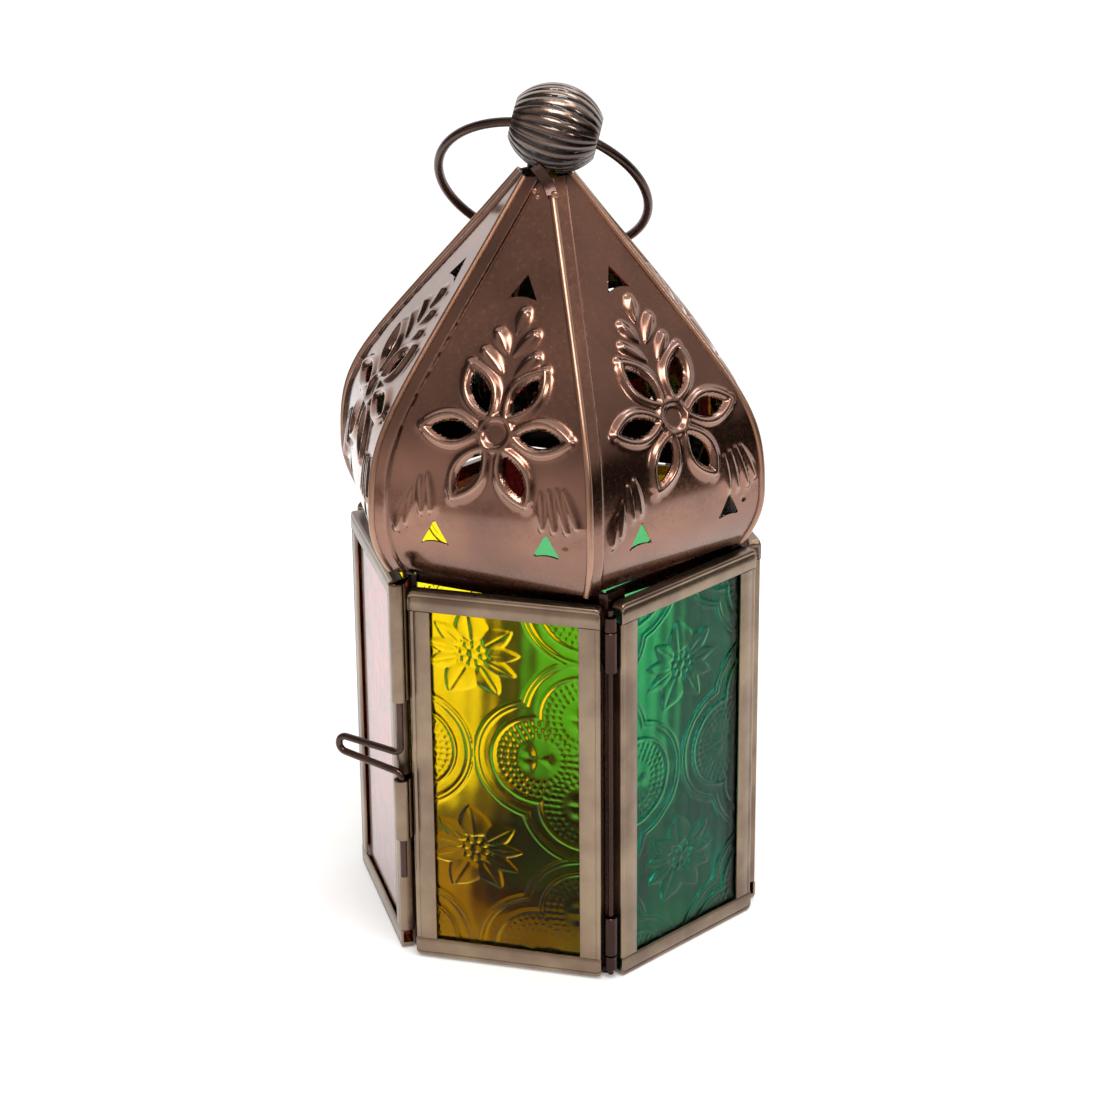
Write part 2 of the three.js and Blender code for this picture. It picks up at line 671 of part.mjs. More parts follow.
// How far the ring's middle line lies outside the roof, least over its lower half.
function ringRoom(lean) {
  const down = ringDirection(lean);
  const samples = 180;
  let least = Infinity;
  for (let i = 0; i < samples; i++) {
    const angle = (2 * Math.PI * i) / samples;
    const point = beadCentre.clone()
      .addScaledVector(down, RING_RADIUS * (1 - Math.cos(angle)))
      .addScaledVector(ringAxis, RING_RADIUS * Math.sin(angle))
      .sub(roof.position)
      .applyAxisAngle(new THREE.Vector3(0, 0, 1), -roof.rotation.z);
    for (let j = 0; j + 1 < goreProfile.length; j++) {
      const [low, high] = [goreProfile[j], goreProfile[j + 1]];
      if (point.z < low.y || point.z > high.y) continue;
      const share = (point.z - low.y) / (high.y - low.y);
      const wall = low.x + share * (high.x - low.x);
      let apothem = 0;
      for (let side = 0; side < SIDES; side++) {
        const a = side * SIDE_ANGLE;
        apothem = Math.max(apothem, point.x * Math.sin(a) - point.y * Math.cos(a));
      }
      const slope = Math.atan2(high.y - low.y, low.x - high.x);
      least = Math.min(least, (apothem - wall) * Math.sin(slope));
    }
  }
  return least;
}

const ringNeeds = RING_WIRE_RADIUS + 2 * HEM_RADIUS + CLEARANCE;
const halvings = 30;
let steep = 0;
let flatter = Math.PI / 2;
for (let i = 0; i < halvings; i++) {
  const lean = (steep + flatter) / 2;
  if (ringRoom(lean) < ringNeeds) steep = lean;
  else flatter = lean;
}
const ringDown = ringDirection(flatter);

const ringHoop = new THREE.TorusGeometry(RING_RADIUS, RING_WIRE_RADIUS, WIRE_SIDES, RING_STEPS);
const ring = add(lantern, "carry_ring", ringHoop, brightWire);
const ringUp = ringDown.clone().negate();
const ringNormal = new THREE.Vector3().crossVectors(ringAxis, ringUp);
const ringBasis = new THREE.Matrix4().makeBasis(ringAxis, ringUp, ringNormal);
ring.quaternion.setFromRotationMatrix(ringBasis);
ring.position.copy(beadCentre).addScaledVector(ringDown, RING_RADIUS);

// Strap from the bead's flank, in at the neck and out onto the front gore

function strapGeometry() {
  const off = CLEARANCE + STRAP_THICKNESS / 2;
  const axisHeight = beadHeight - rimHeight;
  const flank = rad(STRAP_TOP_ANGLE);
  const beadOff = BEAD_RADIUS + off;
  const top = new THREE.Vector2(beadOff * Math.cos(flank), axisHeight - beadOff * Math.sin(flank));
  const total = goreProfile.slice(1).reduce((sum, p, i) => sum + p.distanceTo(goreProfile[i]), 0);
  const foot = onSheet(total - STRAP_ON_ROOF);
  const low = foot.place.clone().addScaledVector(foot.normal, off);
  const crown = onSheet(total - CLEARANCE);
  const neck = crown.place.clone().addScaledVector(crown.normal, 2 * off);
  const line = [top, neck, low];
  const sides = line.map((p, i) => {
    const before = line[Math.max(i - 1, 0)];
    const after = line[Math.min(i + 1, 2)];
    const along = after.clone().sub(before).normalize();
    return new THREE.Vector2(-along.y, along.x).multiplyScalar(STRAP_THICKNESS / 2);
  });
  const outer = line.map((p, i) => p.clone().add(sides[i]));
  const inner = line.map((p, i) => p.clone().sub(sides[i]));
  const outline = new THREE.Shape([...outer, ...inner.reverse()]);
  return extrude(outline, STRAP_WIDTH).applyMatrix4(profileBasis).translate(STRAP_WIDTH / 2, 0, 0);
}

add(turned(roof, 0), "finial_strap", strapGeometry(), bronze);

export default lantern;
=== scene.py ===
import math

import bpy
import numpy as np
from mathutils import Matrix, Vector


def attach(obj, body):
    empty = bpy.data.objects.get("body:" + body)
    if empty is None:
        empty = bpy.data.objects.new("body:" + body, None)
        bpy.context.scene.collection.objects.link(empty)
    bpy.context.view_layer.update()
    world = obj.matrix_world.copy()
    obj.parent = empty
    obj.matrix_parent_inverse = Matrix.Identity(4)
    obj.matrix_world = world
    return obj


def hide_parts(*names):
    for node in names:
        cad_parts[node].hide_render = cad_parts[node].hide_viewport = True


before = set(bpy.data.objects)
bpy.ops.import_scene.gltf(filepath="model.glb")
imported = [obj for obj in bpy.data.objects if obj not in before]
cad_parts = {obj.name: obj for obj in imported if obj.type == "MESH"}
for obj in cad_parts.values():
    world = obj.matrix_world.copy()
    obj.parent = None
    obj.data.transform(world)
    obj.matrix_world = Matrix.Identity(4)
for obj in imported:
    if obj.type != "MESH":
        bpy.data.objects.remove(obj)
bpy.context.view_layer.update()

# Camera
#
# It looks down on the lantern from the front, a little from the right, through a long lens,
# so the door, the pane on its right and a sliver of the pane on its left are seen.

camera_data = bpy.data.cameras.new("camera")
camera_data.sensor_width = 36
camera_data.lens = 108.17
camera = bpy.data.objects.new("camera", camera_data)
bpy.context.scene.collection.objects.link(camera)
camera_right = Vector((0.96599, 0.25842, -0.00848))
camera_ahead = Vector((-0.24075, 0.88702, -0.39399))
camera_up = camera_right.cross(camera_ahead)
camera_turn = Matrix((camera_right, camera_up, -camera_ahead)).transposed()
camera.matrix_world = Matrix.Translation((0.170003, -0.629274, 0.359970)) @ camera_turn.to_4x4()
bpy.context.scene.camera = camera

# Studio
#
# A white table and white surroundings, as for a catalogue picture. Soft lamps, and the dim room
# with a long high window in front of the table, give the lacquered metal something to mirror.

bpy.context.scene.view_settings.view_transform = "Standard"


def put(tree, kind, inputs=(), **settings):
    """Adds a node. Each input is a socket's name or number with its value or the socket that
    feeds it, and each setting is a property of the node."""
    node = tree.nodes.new("ShaderNode" + kind)
    for name, value in settings.items():
        setattr(node, name, value)
    for place, value in dict(inputs).items():
        if isinstance(value, bpy.types.NodeSocket):
            tree.links.new(value, node.inputs[place])
        else:
            node.inputs[place].default_value = value
    return node


def ranged(tree, value, start, stop, low=0.0, high=1.0):
    """A value carried over from one range to another, and held at both ends."""
    return put(tree, "MapRange", {"Value": value, "From Min": start, "From Max": stop,
                                  "To Min": low, "To Max": high}).outputs[0]


def worked(tree, operation, *values):
    """The result of a sum on values or sockets."""
    return put(tree, "Math", dict(enumerate(values)), operation=operation).outputs[0]


def fresh_tree(owner):
    """An empty node tree with its output node."""
    owner.use_nodes = True
    owner.node_tree.nodes.clear()
    kind = "OutputWorld" if isinstance(owner, bpy.types.World) else "OutputMaterial"
    return owner.node_tree, put(owner.node_tree, kind)


def seen_directly(tree):
    """One for camera, glossy and transmission rays, zero for the light that falls on things."""
    path = put(tree, "LightPath").outputs
    shine = worked(tree, "MAXIMUM", path["Is Camera Ray"], path["Is Glossy Ray"])
    return worked(tree, "MAXIMUM", shine, path["Is Transmission Ray"])


world = bpy.data.worlds.new("white_surroundings")
bpy.context.scene.world = world
tree, end = fresh_tree(world)
strength = ranged(tree, seen_directly(tree), 0.0, 1.0, 0.84, 1.0)
sky = put(tree, "Background", {"Color": (1, 1, 1, 1), "Strength": strength})
tree.links.new(sky.outputs[0], end.inputs["Surface"])


def grid_quads(rows, columns, rows_meet=False, columns_meet=False):
    """Corner numbers of the quads between neighbouring points of a grid stored row by row.
    Rows or columns that meet are joined from the last back to the first."""
    i = np.arange(rows if rows_meet else rows - 1)
    j = np.arange(columns if columns_meet else columns - 1)
    i, j = np.meshgrid(i, j, indexing="ij")
    down, on = (i + 1) % rows, (j + 1) % columns
    return np.stack([i * columns + j, i * columns + on, down * columns + on, down * columns + j],
                    -1).reshape(-1, 4)


def stage_sheet(name, grid, material):
    """A sheet through a grid of points in metres that isn't part of the lantern."""
    mesh = bpy.data.meshes.new(name)
    quads = grid_quads(*grid.shape[:2])
    mesh.from_pydata(grid.reshape(-1, 3).tolist(), [], quads.tolist())
    mesh.materials.append(material)
    sheet = bpy.data.objects.new(name, mesh)
    bpy.context.scene.collection.objects.link(sheet)
    return sheet


table_paint = bpy.data.materials.new("table_paint")
tree, end = fresh_tree(table_paint)
paint = put(tree, "BsdfPrincipled", {
    "Base Color": (0.93, 0.93, 0.93, 1), "Roughness": 0.9, "Specular IOR Level": 0.0,
    "Emission Color": (1, 1, 1, 1),
    "Emission Strength": worked(tree, "MULTIPLY", seen_directly(tree), 0.2)})
tree.links.new(paint.outputs[0], end.inputs["Surface"])
stage_sheet("white_table", np.array([[(-3, -3, 0), (3, -3, 0)], [(-3, 3, 0), (3, 3, 0)]]),
            table_paint)

room_paint = bpy.data.materials.new("room_paint")
tree, end = fresh_tree(room_paint)
place = put(tree, "SeparateXYZ", {0: put(tree, "TexCoord").outputs["Object"]}).outputs
left = ranged(tree, place["X"], 1.0, -0.2)
dim_side = ranged(tree, place["Z"], 0.35, 0.65, 0.03, 0.44)
lit_side = ranged(tree, place["Z"], 0.15, 0.9, 0.75, 0.34)
corner = ranged(tree, place["Y"], -0.6, -0.2, 1.0, 0.2)
dusk = ranged(tree, left, 0.0, 1.0, dim_side, worked(tree, "MULTIPLY", lit_side, corner))
sill = ranged(tree, place["Z"], 1.72, 1.82)
top = ranged(tree, place["Z"], 2.15, 2.05)
aside = ranged(tree, place["X"], -0.5, -0.3)
window = worked(tree, "MULTIPLY", worked(tree, "MULTIPLY", sill, top), aside)
bright = worked(tree, "MULTIPLY_ADD", window, 3.4, dusk)
glow = put(tree, "Emission", {"Color": (1.0, 0.9, 0.85, 1), "Strength": bright})
tree.links.new(glow.outputs[0], end.inputs["Surface"])
around = np.radians(np.linspace(-112, 118, 44))[None, :, None]
reach = np.array([0.34, 1.3, 1.3, 0.7])[:, None, None]
rise = np.array([0.002, 0.002, 1.5, 2.4])[:, None, None]
room = stage_sheet("dim_room", np.concatenate(
    [reach * np.sin(around), -reach * np.cos(around), rise + 0 * around], -1), room_paint)
for ray in ("camera", "diffuse", "transmission", "volume_scatter", "shadow"):
    setattr(room, f"visible_{ray}", False)


def soft_lamp(name, place, aim, width, height, watts, colour):
    """A soft box at a place in metres that faces a point."""
    data = bpy.data.lights.new(name, "AREA")
    data.shape = "RECTANGLE"
    data.size = width
    data.size_y = height
    data.energy = watts
    data.color = colour
    lamp = bpy.data.objects.new(name, data)
    bpy.context.scene.collection.objects.link(lamp)
    turn = (Vector(aim) - Vector(place)).to_track_quat("-Z", "Y").to_matrix().to_4x4()
    lamp.matrix_world = Matrix.Translation(place) @ turn
    return lamp


soft_lamp("front_box", (0.18, -0.5, 1.0), (0, 0, 0.15), 0.45, 0.4, 4.6, (1.0, 0.95, 0.9))
soft_lamp("side_box", (0.76, -0.47, 0.6), (0, 0, 0.14), 0.12, 0.25, 1.2, (1.0, 0.95, 0.9))
soft_lamp("window_high", (0.33, 0.42, 1.1), (0, 0, 0.14), 0.25, 0.25, 1.2, (0.82, 0.91, 1.0))

# Base plate and corner posts
#
# A six-sided plate and six folded angles of thin sheet, soldered together and dipped in dark
# bronze lacquer. The plate is painted pale, as painted light where light falls in through the
# panes, and the posts darker still, as painted shade in the corner gaps. They stay as the CAD
# made them and get their finish here.

MM = 0.001


def shade_of(red, green, blue):
    """A colour given as 0 to 255 screen values, as linear light."""
    share = np.array([red, green, blue]) / 255
    linear = np.where(share <= 0.04045, share / 12.92, ((share + 0.055) / 1.055) ** 2.4)
    return (*linear.tolist(), 1.0)


def mixed(tree, factor, low, high):
    """A colour between two others."""
    return put(tree, "Mix", {0: factor, 6: low, 7: high}, data_type="RGBA").outputs[2]


def lacquer_group():
    """Bronze lacquer on thin sheet: a thin, cloudy coat that is darker in the recesses, worn
    bright on what stands proud, and finely pitted by the metal's grain. Where a piece's tone
    carries painted shade and painted highlights, so does the coat."""
    group = bpy.data.node_groups.new("bronze_lacquer", "ShaderNodeTree")
    face = group.interface
    for name in ("Lacquer", "Shade", "Rubbed and Highlight"):
        face.new_socket(name, in_out="INPUT", socket_type="NodeSocketColor")
    for name in ("Tone", "Grain", "Clouds", "Dull"):
        face.new_socket(name, in_out="INPUT", socket_type="NodeSocketFloat")
    face.new_socket("Colour", in_out="OUTPUT", socket_type="NodeSocketColor")
    for name in ("Roughness", "Height"):
        face.new_socket(name, in_out="OUTPUT", socket_type="NodeSocketFloat")
    given = group.nodes.new("NodeGroupInput").outputs
    place = put(group, "TexCoord").outputs["Object"]
    clouds = put(group, "TexNoise", {"Vector": place, "Scale": given["Clouds"], "Detail": 3.0})
    grain = put(group, "TexNoise", {"Vector": place, "Scale": given["Grain"], "Detail": 4.0,
                                    "Roughness": 0.6})
    low = ranged(group, given["Tone"], 0.48, 0.15)
    high = ranged(group, given["Tone"], 0.53, 0.9)
    worn = ranged(group, grain.outputs[0], 0.3, 0.55, 0.75)
    coat = mixed(group, ranged(group, clouds.outputs[0], 0.36, 0.66, 0.0, 0.6),
                 given["Lacquer"], given["Shade"])
    coat = mixed(group, low, coat, given["Shade"])
    coat = mixed(group, worked(group, "MULTIPLY", high, worn), coat, given["Rubbed and Highlight"])
    rough = worked(group, "MULTIPLY_ADD", grain.outputs[0], 0.35, given["Dull"])
    dull = worked(group, "MULTIPLY_ADD", low, 0.2, rough)
    height = worked(group, "MULTIPLY_ADD", clouds.outputs[0], 1.5, grain.outputs[0])
    end = group.nodes.new("NodeGroupOutput").inputs
    for name, value in (("Colour", coat), ("Roughness", dull), ("Height", height)):
        group.links.new(value, end[name])
    return group


bronze_lacquer = lacquer_group()


def lacquered(name, lacquer, shade, rubbed_and_highlight, grain=900.0, clouds=60.0, dents=0.00006, dull=0.12,
              coat_weight=0.3, coat_ior=1.5, metallic=1.0, tone=None):
    """Lacquered metal. Its tone, low in recesses and high on what is worn bright, comes from
    the mesh attribute of that name, or is even. On some pieces the tone also carries painted
    shade and painted highlights."""
    material = bpy.data.materials.new(name)
    tree, end = fresh_tree(material)
    coat = tree.nodes.new("ShaderNodeGroup")
    coat.node_tree = bronze_lacquer
    values = {"Lacquer": lacquer, "Shade": shade, "Rubbed and Highlight": rubbed_and_highlight, "Tone": 0.5,
              "Grain": grain, "Clouds": clouds, "Dull": dull}
    for socket, value in values.items():
        coat.inputs[socket].default_value = value
    if tone:
        lines = put(tree, "Attribute", attribute_name=tone)
        tree.links.new(lines.outputs["Fac"], coat.inputs["Tone"])
    dented = put(tree, "Bump", {"Strength": 0.5, "Distance": dents,
                                "Height": coat.outputs["Height"]})
    metal = put(tree, "BsdfPrincipled", {
        "Base Color": coat.outputs["Colour"], "Roughness": coat.outputs["Roughness"],
        "Normal": dented.outputs[0], "Metallic": metallic, "Coat Weight": coat_weight,
        "Coat Roughness": 0.1, "Coat IOR": coat_ior})
    tree.links.new(metal.outputs[0], end.inputs["Surface"])
    return material


def refinish(node, material):
    """Gives a CAD node its finish."""
    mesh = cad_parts[node].data
    mesh.materials.clear()
    mesh.materials.append(material)


# Dark bronze lacquer, painted darker still as painted shade for the parts deep in the corner gaps
# and inside the lantern: the posts, the hinge, the cup and the collar.
post_lacquer_and_shade = lacquered("post_lacquer_and_shade", shade_of(62, 36, 29), shade_of(30, 17, 14),
                         shade_of(130, 100, 86))
# Painted light: the plate's lacquer is painted pale for the light that falls on it through the
# panes.
lit_plate_lacquer = lacquered("lit_plate_lacquer", shade_of(222, 180, 158), shade_of(160, 122, 106),
                          shade_of(230, 200, 180), dull=0.2, metallic=0.3)
refinish("base_plate", lit_plate_lacquer)
for corner in range(1, 7):
    refinish(f"corner_post_{corner}", post_lacquer_and_shade)

# Candle cup
#
# A drawn cup of thin sheet, spot-soldered to the middle of the base plate, with its rim rolled
# outwards. A tea light stands in it, though none is drawn here.

CUP_BORE = 19.6
CUP_FOOT = 1.5
CUP_HEIGHT = 8.0
CUP_SHEET = 0.45
CUP_RIM = 0.4
CUP_BEND = 0.6
MIDDLE = 0.02


def facing_out(points, quads):
    """The quads of a closed shell, turned so that the space inside, the sum of the wedges between
    each quad and the shell's middle, comes out positive."""
    corner = (points - points.mean(0))[quads]
    wedge = np.cross(corner[:, 1] - corner[:, 0], corner[:, 2] - corner[:, 0])
    return quads if (wedge * corner[:, 0]).sum() > 0 else quads[:, ::-1]


def joined(shells):
    """Several shells of points and faces as one list of points and one of faces."""
    points, faces, count = [], [], 0
    for shell_points, shell_faces in shells:
        points.append(shell_points)
        faces += [[corner + count for corner in face] for face in shell_faces]
        count += len(shell_points)
    return np.vstack(points), faces


def add_piece(name, points, faces, materials, body, stands_for, crease=35):
    """A mesh from points in millimetres that rides on a body, takes the given finishes and stands
    for CAD nodes, which are hidden. Edges that turn by more than the crease angle stay sharp."""
    mesh = bpy.data.meshes.new(name)
    mesh.from_pydata((points * MM).tolist(), [], [list(face) for face in faces])
    mesh.shade_smooth()
    mesh.set_sharp_from_angle(angle=math.radians(crease))
    for material in materials:
        mesh.materials.append(material)
    piece = bpy.data.objects.new(name, mesh)
    bpy.context.scene.collection.objects.link(piece)
    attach(piece, body)
    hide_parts(*stands_for)
    return piece


def arc(middle_x, middle_y, radius, start, stop, steps):
    """Points along a circle between two angles in degrees."""
    angle = np.radians(np.linspace(start, stop, steps))
    return np.column_stack([middle_x + radius * np.cos(angle), middle_y + radius * np.sin(angle)])


def turned_profile(profile, steps):
    """A closed ring-shaped shell: a closed profile of radius and height turned about the axis."""
    angle = np.linspace(0, 2 * np.pi, steps, endpoint=False)[:, None]
    radius, height = profile.T
    points = np.stack([radius * np.cos(angle), radius * np.sin(angle), height + 0 * angle],
                      -1).reshape(-1, 3)
    return points, facing_out(points, grid_quads(steps, len(profile), True, True))


cup_top = CUP_FOOT + CUP_HEIGHT
cup_bend = CUP_BEND + CUP_SHEET
cup_profile = np.vstack([
    [[MIDDLE, CUP_FOOT], [CUP_BORE - CUP_BEND, CUP_FOOT]],
    arc(CUP_BORE - CUP_BEND, CUP_FOOT + cup_bend, cup_bend, -80, 0, 6),
    arc(CUP_BORE + CUP_SHEET, cup_top - CUP_RIM, CUP_RIM, -90, 150, 10),
    [[CUP_BORE, cup_top - 1.2], [CUP_BORE, CUP_FOOT + 1.2]],
    arc(CUP_BORE - CUP_BEND, CUP_FOOT + cup_bend, CUP_BEND, 0, -90, 5),
    [[MIDDLE, CUP_FOOT + CUP_SHEET]],
])
cup_points, cup_quads = turned_profile(cup_profile, 96)
add_piece("candle_cup_drawn", cup_points, cup_quads, [post_lacquer_and_shade], "root",
          ["candle_cup"])

# Panel frames
#
# Strips of thin sheet folded into a channel that grips the pane. The two rails run the full
# width, the two stiles butt against them, and the joints are soldered and lacquered over.

FRONT = 40.0
FRAME_WIDTH = 40.788
FRAME_HEIGHT = 86.5
FRAME_DEPTH = 3.0
STILE_WIDTH = 4.6
RAIL_WIDTH = 4.4
FRAME_SHEET = 0.42
FRAME_BEND = 0.6
FRAME_CORNER = 1.2
STILE_CORNER = 0.05
BUTT_GAP = 0.08
GROOVE_PLACE = 1.1
GROOVE_HALF = 0.15
GROOVE_DEPTH = 0.12

frame_lacquer = lacquered("frame_lacquer", shade_of(150, 130, 108), shade_of(84, 60, 56),
                          shade_of(214, 190, 176), grain=1400.0, clouds=75.0, dents=0.00004,
                          dull=0.16)


def channel_section(width):
    """A folded channel across its length: from the window edge along the front, over the fine
    groove that the fold leaves, round the outer bend, back along the rear, and the same way home
    one sheet thickness inside."""
    far, bend = FRAME_DEPTH, FRAME_BEND
    inner = bend - FRAME_SHEET
    lip = 0.1
    outside = [
        [[width, lip], [width - lip, 0.0], [GROOVE_PLACE + GROOVE_HALF, 0.0],
         [GROOVE_PLACE, GROOVE_DEPTH], [GROOVE_PLACE - GROOVE_HALF, 0.0]],
        arc(bend, bend, bend, 270, 180, 6),
        arc(bend, far - bend, bend, 180, 90, 6),
        [[width, far]],
    ]
    inside = [
        [[width, far - FRAME_SHEET]],
        arc(bend, far - bend, inner, 90, 180, 4),
        arc(bend, bend, inner, 180, 270, 4),
        [[width, FRAME_SHEET]],
    ]
    return np.vstack(outside + inside)


def channel(length, width, corner):
    """A length of channel along x from its middle: x, distance in from the outer edge, and depth.
    The outer edge draws in over a rounded corner at both ends, as sqrt(r^2 - (r - d)^2) does."""
    section = channel_section(width)
    half = length / 2
    near = corner * (1 - np.cos(np.radians(np.linspace(0, 90, 7))))
    stations = np.concatenate([-half + near, half - near[::-1]])
    to_end = np.minimum(half - np.abs(stations), corner)
    drawn_in = corner - np.sqrt(np.maximum(corner ** 2 - (corner - to_end) ** 2, 0))
    share = 1 - section[:, 0] / width
    points = np.stack([
        stations[:, None] + 0 * section[:, 0],
        section[:, 0] + drawn_in[:, None] * share,
        section[:, 1] + 0 * stations[:, None],
    ], -1).reshape(-1, 3)
    return points, len(stations)


def closed_tube(points, rings):
    """A tube from points that run ring by ring: its sides as quads and its two ends, all facing
    out. Each end runs against the way that the sides run along it."""
    size = len(points) // rings
    sides = facing_out(points, grid_quads(rings, size, False, True)).tolist()
    first, last = list(range(size)), list(range(len(points) - size, len(points)))
    forward = sides[0] == [0, 1, size + 1, size]
    return points, sides + ([first[::-1], last] if forward else [first, last[::-1]])


def placed(points, x, z, rings):
    """A member put on the front side. Its coordinates x and z are given, and its depth counts
    back from the front."""
    return closed_tube(np.column_stack([x, points[:, 2] - FRONT, z]), rings)


def folded_frame(foot, height):
    """The four channels of a frame on the front side, from its foot up."""
    rail, rings = channel(FRAME_WIDTH, RAIL_WIDTH, FRAME_CORNER)
    stile, _ = channel(height - 2 * (RAIL_WIDTH + BUTT_GAP), STILE_WIDTH, STILE_CORNER)
    middle = foot + height / 2
    edge = FRAME_WIDTH / 2
    return joined([
        placed(rail, rail[:, 0], foot + rail[:, 1], rings),
        placed(rail, rail[:, 0], foot + height - rail[:, 1], rings),
        placed(stile, stile[:, 1] - edge, middle + stile[:, 0], rings),
        placed(stile, edge - stile[:, 1], middle + stile[:, 0], rings),
    ])


def about_axis(points, degrees):
    """Points turned about the lantern's upright axis."""
    angle = math.radians(degrees)
    turn = np.array([[math.cos(angle), math.sin(angle)], [-math.sin(angle), math.cos(angle)]])
    return np.column_stack([points[:, :2] @ turn, points[:, 2]])


frame_points, frame_faces = folded_frame(0, FRAME_HEIGHT)
for side in range(1, 6):
    add_piece(f"folded_frame_{side}", about_axis(frame_points, 60 * side), frame_faces,
              [frame_lacquer], "root", [f"panel_frame_{side}"], crease=50)

# Panes
#
# Pressed cathedral glass, green, red, deep green, amber and red in turn, slid into the channels.
# One face carries an old diaper pattern, four-lobed medallions filled with rows of beads and a
# star flower between them. It faces out, but in on the red panes, and is fainter on the green.

PANE_WIDTH = 36.388
PANE_FRONT = 39.2
PANE_THICKNESS = 1.4
PANE_MARGIN = 2.0
PANE_HEIGHT = 82.5
REPEAT_ACROSS = 47.6
REPEAT_UP = 45.4
LOBE_SPREAD = 10.0
LOBE_RADIUS = 9.7
BEAD_ROWS = (8.3, 6.9, 5.5)
BEAD_STEP = 1.45
GLASS_STEP = 0.24
RELIEF = {"amber": 0.42, "red": 0.42, "green": 0.24, "deep_green": 0.24}

glass_tints = {
    "amber": (1.0, 0.82, 0.02, 1.0),
    "green": (0.02, 0.70, 0.44, 1.0),
    "deep_green": (0.08, 0.42, 0.15, 1.0),
    "red": (0.84, 0.05, 0.08, 1.0),
}


def ridge(distance, width):
    """A rounded ridge along the line where the distance is zero."""
    return np.exp(-((distance / width) ** 2))


def bead_ring(reach, angle, radius, count, size):
    """A ring of round beads: a ridge along the circle, raised and lowered as a cosine runs
    round it once for each bead."""
    return ridge(reach - radius, size) * (0.5 + 0.5 * np.cos(count * angle))


def star_flower(x, z):
    """Nine pointed petals, each a pillow whose half width swells and narrows as a sine from the
    middle out, round eight beads and one in the middle."""
    reach, angle = np.hypot(x, z), np.arctan2(z, x) + 0.2
    step = 2 * np.pi / 9
    off = (angle + 0.25 * np.sin(2 * angle)) % step - step / 2
    along = np.clip((reach - 3.0) / 7.4, 0, 1)
    half = 2.4 * np.sin(np.pi * along ** 0.8) + 1e-6
    petal = np.clip(1 - (reach * np.abs(np.sin(off)) / half) ** 2, 0, 1) ** 0.4
    vein = 0.45 * ridge(reach * np.sin(off), 0.25)
    heart = bead_ring(reach, angle, 2.2, 8, 0.6) + ridge(reach, 0.8)
    return petal * (1 - vein) * (along > 0) * (along < 1) + heart


def medallion(x, z):
    """Four round lobes about a middle. Their common outline, where the least distance to the
    four circles is zero, is drawn three times over, and each lobe holds three rows of beads
    and a small flower."""
    centres = [(LOBE_SPREAD, 0), (-LOBE_SPREAD, 0), (0, LOBE_SPREAD), (0, -LOBE_SPREAD)]
    reaches = np.stack([np.hypot(x - cx, z - cz) for cx, cz in centres])
    nearest = reaches.argmin(0)
    least = reaches.min(0)
    cx, cz = np.array(centres)[nearest].transpose(-1, *range(nearest.ndim))
    angle = np.arctan2(z - cz, x - cx)
    edge = least - LOBE_RADIUS
    drawn = ridge(edge, 0.42) + 0.8 * ridge(edge - 2.8, 0.34) + ridge(edge - 3.7, 0.34)
    for radius in BEAD_ROWS:
        count = round(2 * np.pi * radius / BEAD_STEP)
        drawn = drawn + 0.5 * bead_ring(least, angle, radius, count, 0.5)
    petals = np.clip(np.cos(2.5 * angle), 0, 1) * ridge(least - 2.2, 1.3)
    return drawn + 0.8 * petals * (least < 4.6)


def diaper(x, z, flower_x, flower_z):
    """The pattern's height, 0 to about 1, with a flower at one place and repeating from there."""
    def folded(value, repeat):
        return (value + repeat / 2) % repeat - repeat / 2
    flower = star_flower(folded(x - flower_x, REPEAT_ACROSS), folded(z - flower_z, REPEAT_UP))
    shifted = folded(x - flower_x - REPEAT_ACROSS / 2, REPEAT_ACROSS)
    lobes = medallion(shifted, folded(z - flower_z - REPEAT_UP / 2, REPEAT_UP))
    return np.minimum(flower + lobes, 1.2)


def pressed_pane(foot, height, flower_x, flower_z, relief, inward=False):
    """A pane on the front side: a grid with the pattern's height in front, faded out under the
    frame, and a flat back joined to it all round. Inward, it is mirrored about its middle."""
    columns = int(PANE_WIDTH / GLASS_STEP)
    rows = int(height / GLASS_STEP)
    x, z = np.meshgrid(np.linspace(-PANE_WIDTH / 2, PANE_WIDTH / 2, columns),
                       np.linspace(foot, foot + height, rows))
    from_edge = np.minimum(PANE_WIDTH / 2 - np.abs(x), height / 2 - np.abs(z - foot - height / 2))
    fade = np.clip((from_edge - PANE_MARGIN) / 0.6, 0, 1)
    wave = 0.05 * np.sin(0.9 * x + 0.4 * z) * np.sin(0.5 * z - 0.7 * x + 1)
    front = PANE_FRONT + fade * (relief * diaper(x, z, flower_x, flower_z) + wave)
    points = np.stack([x, -front, z], -1).reshape(-1, 3)
    number = np.arange(rows * columns).reshape(rows, columns)
    edge = np.concatenate([number[0], number[1:, -1], number[-1, -2::-1], number[-2:0:-1, 0]])
    back = points[edge] * [1, 0, 1] + [0, PANE_THICKNESS - PANE_FRONT, 0]
    back_number = rows * columns + np.arange(len(edge))
    sides = np.column_stack([np.roll(edge, -1), edge, back_number, np.roll(back_number, -1)])
    faces = grid_quads(rows, columns).tolist() + sides.tolist() + [back_number[::-1].tolist()]
    points = np.vstack([points, back])
    if inward:
        points = points * [1, -1, 1] - [0, 2 * PANE_FRONT - PANE_THICKNESS, 0]
        faces = [face[::-1] for face in faces]
    return points, faces


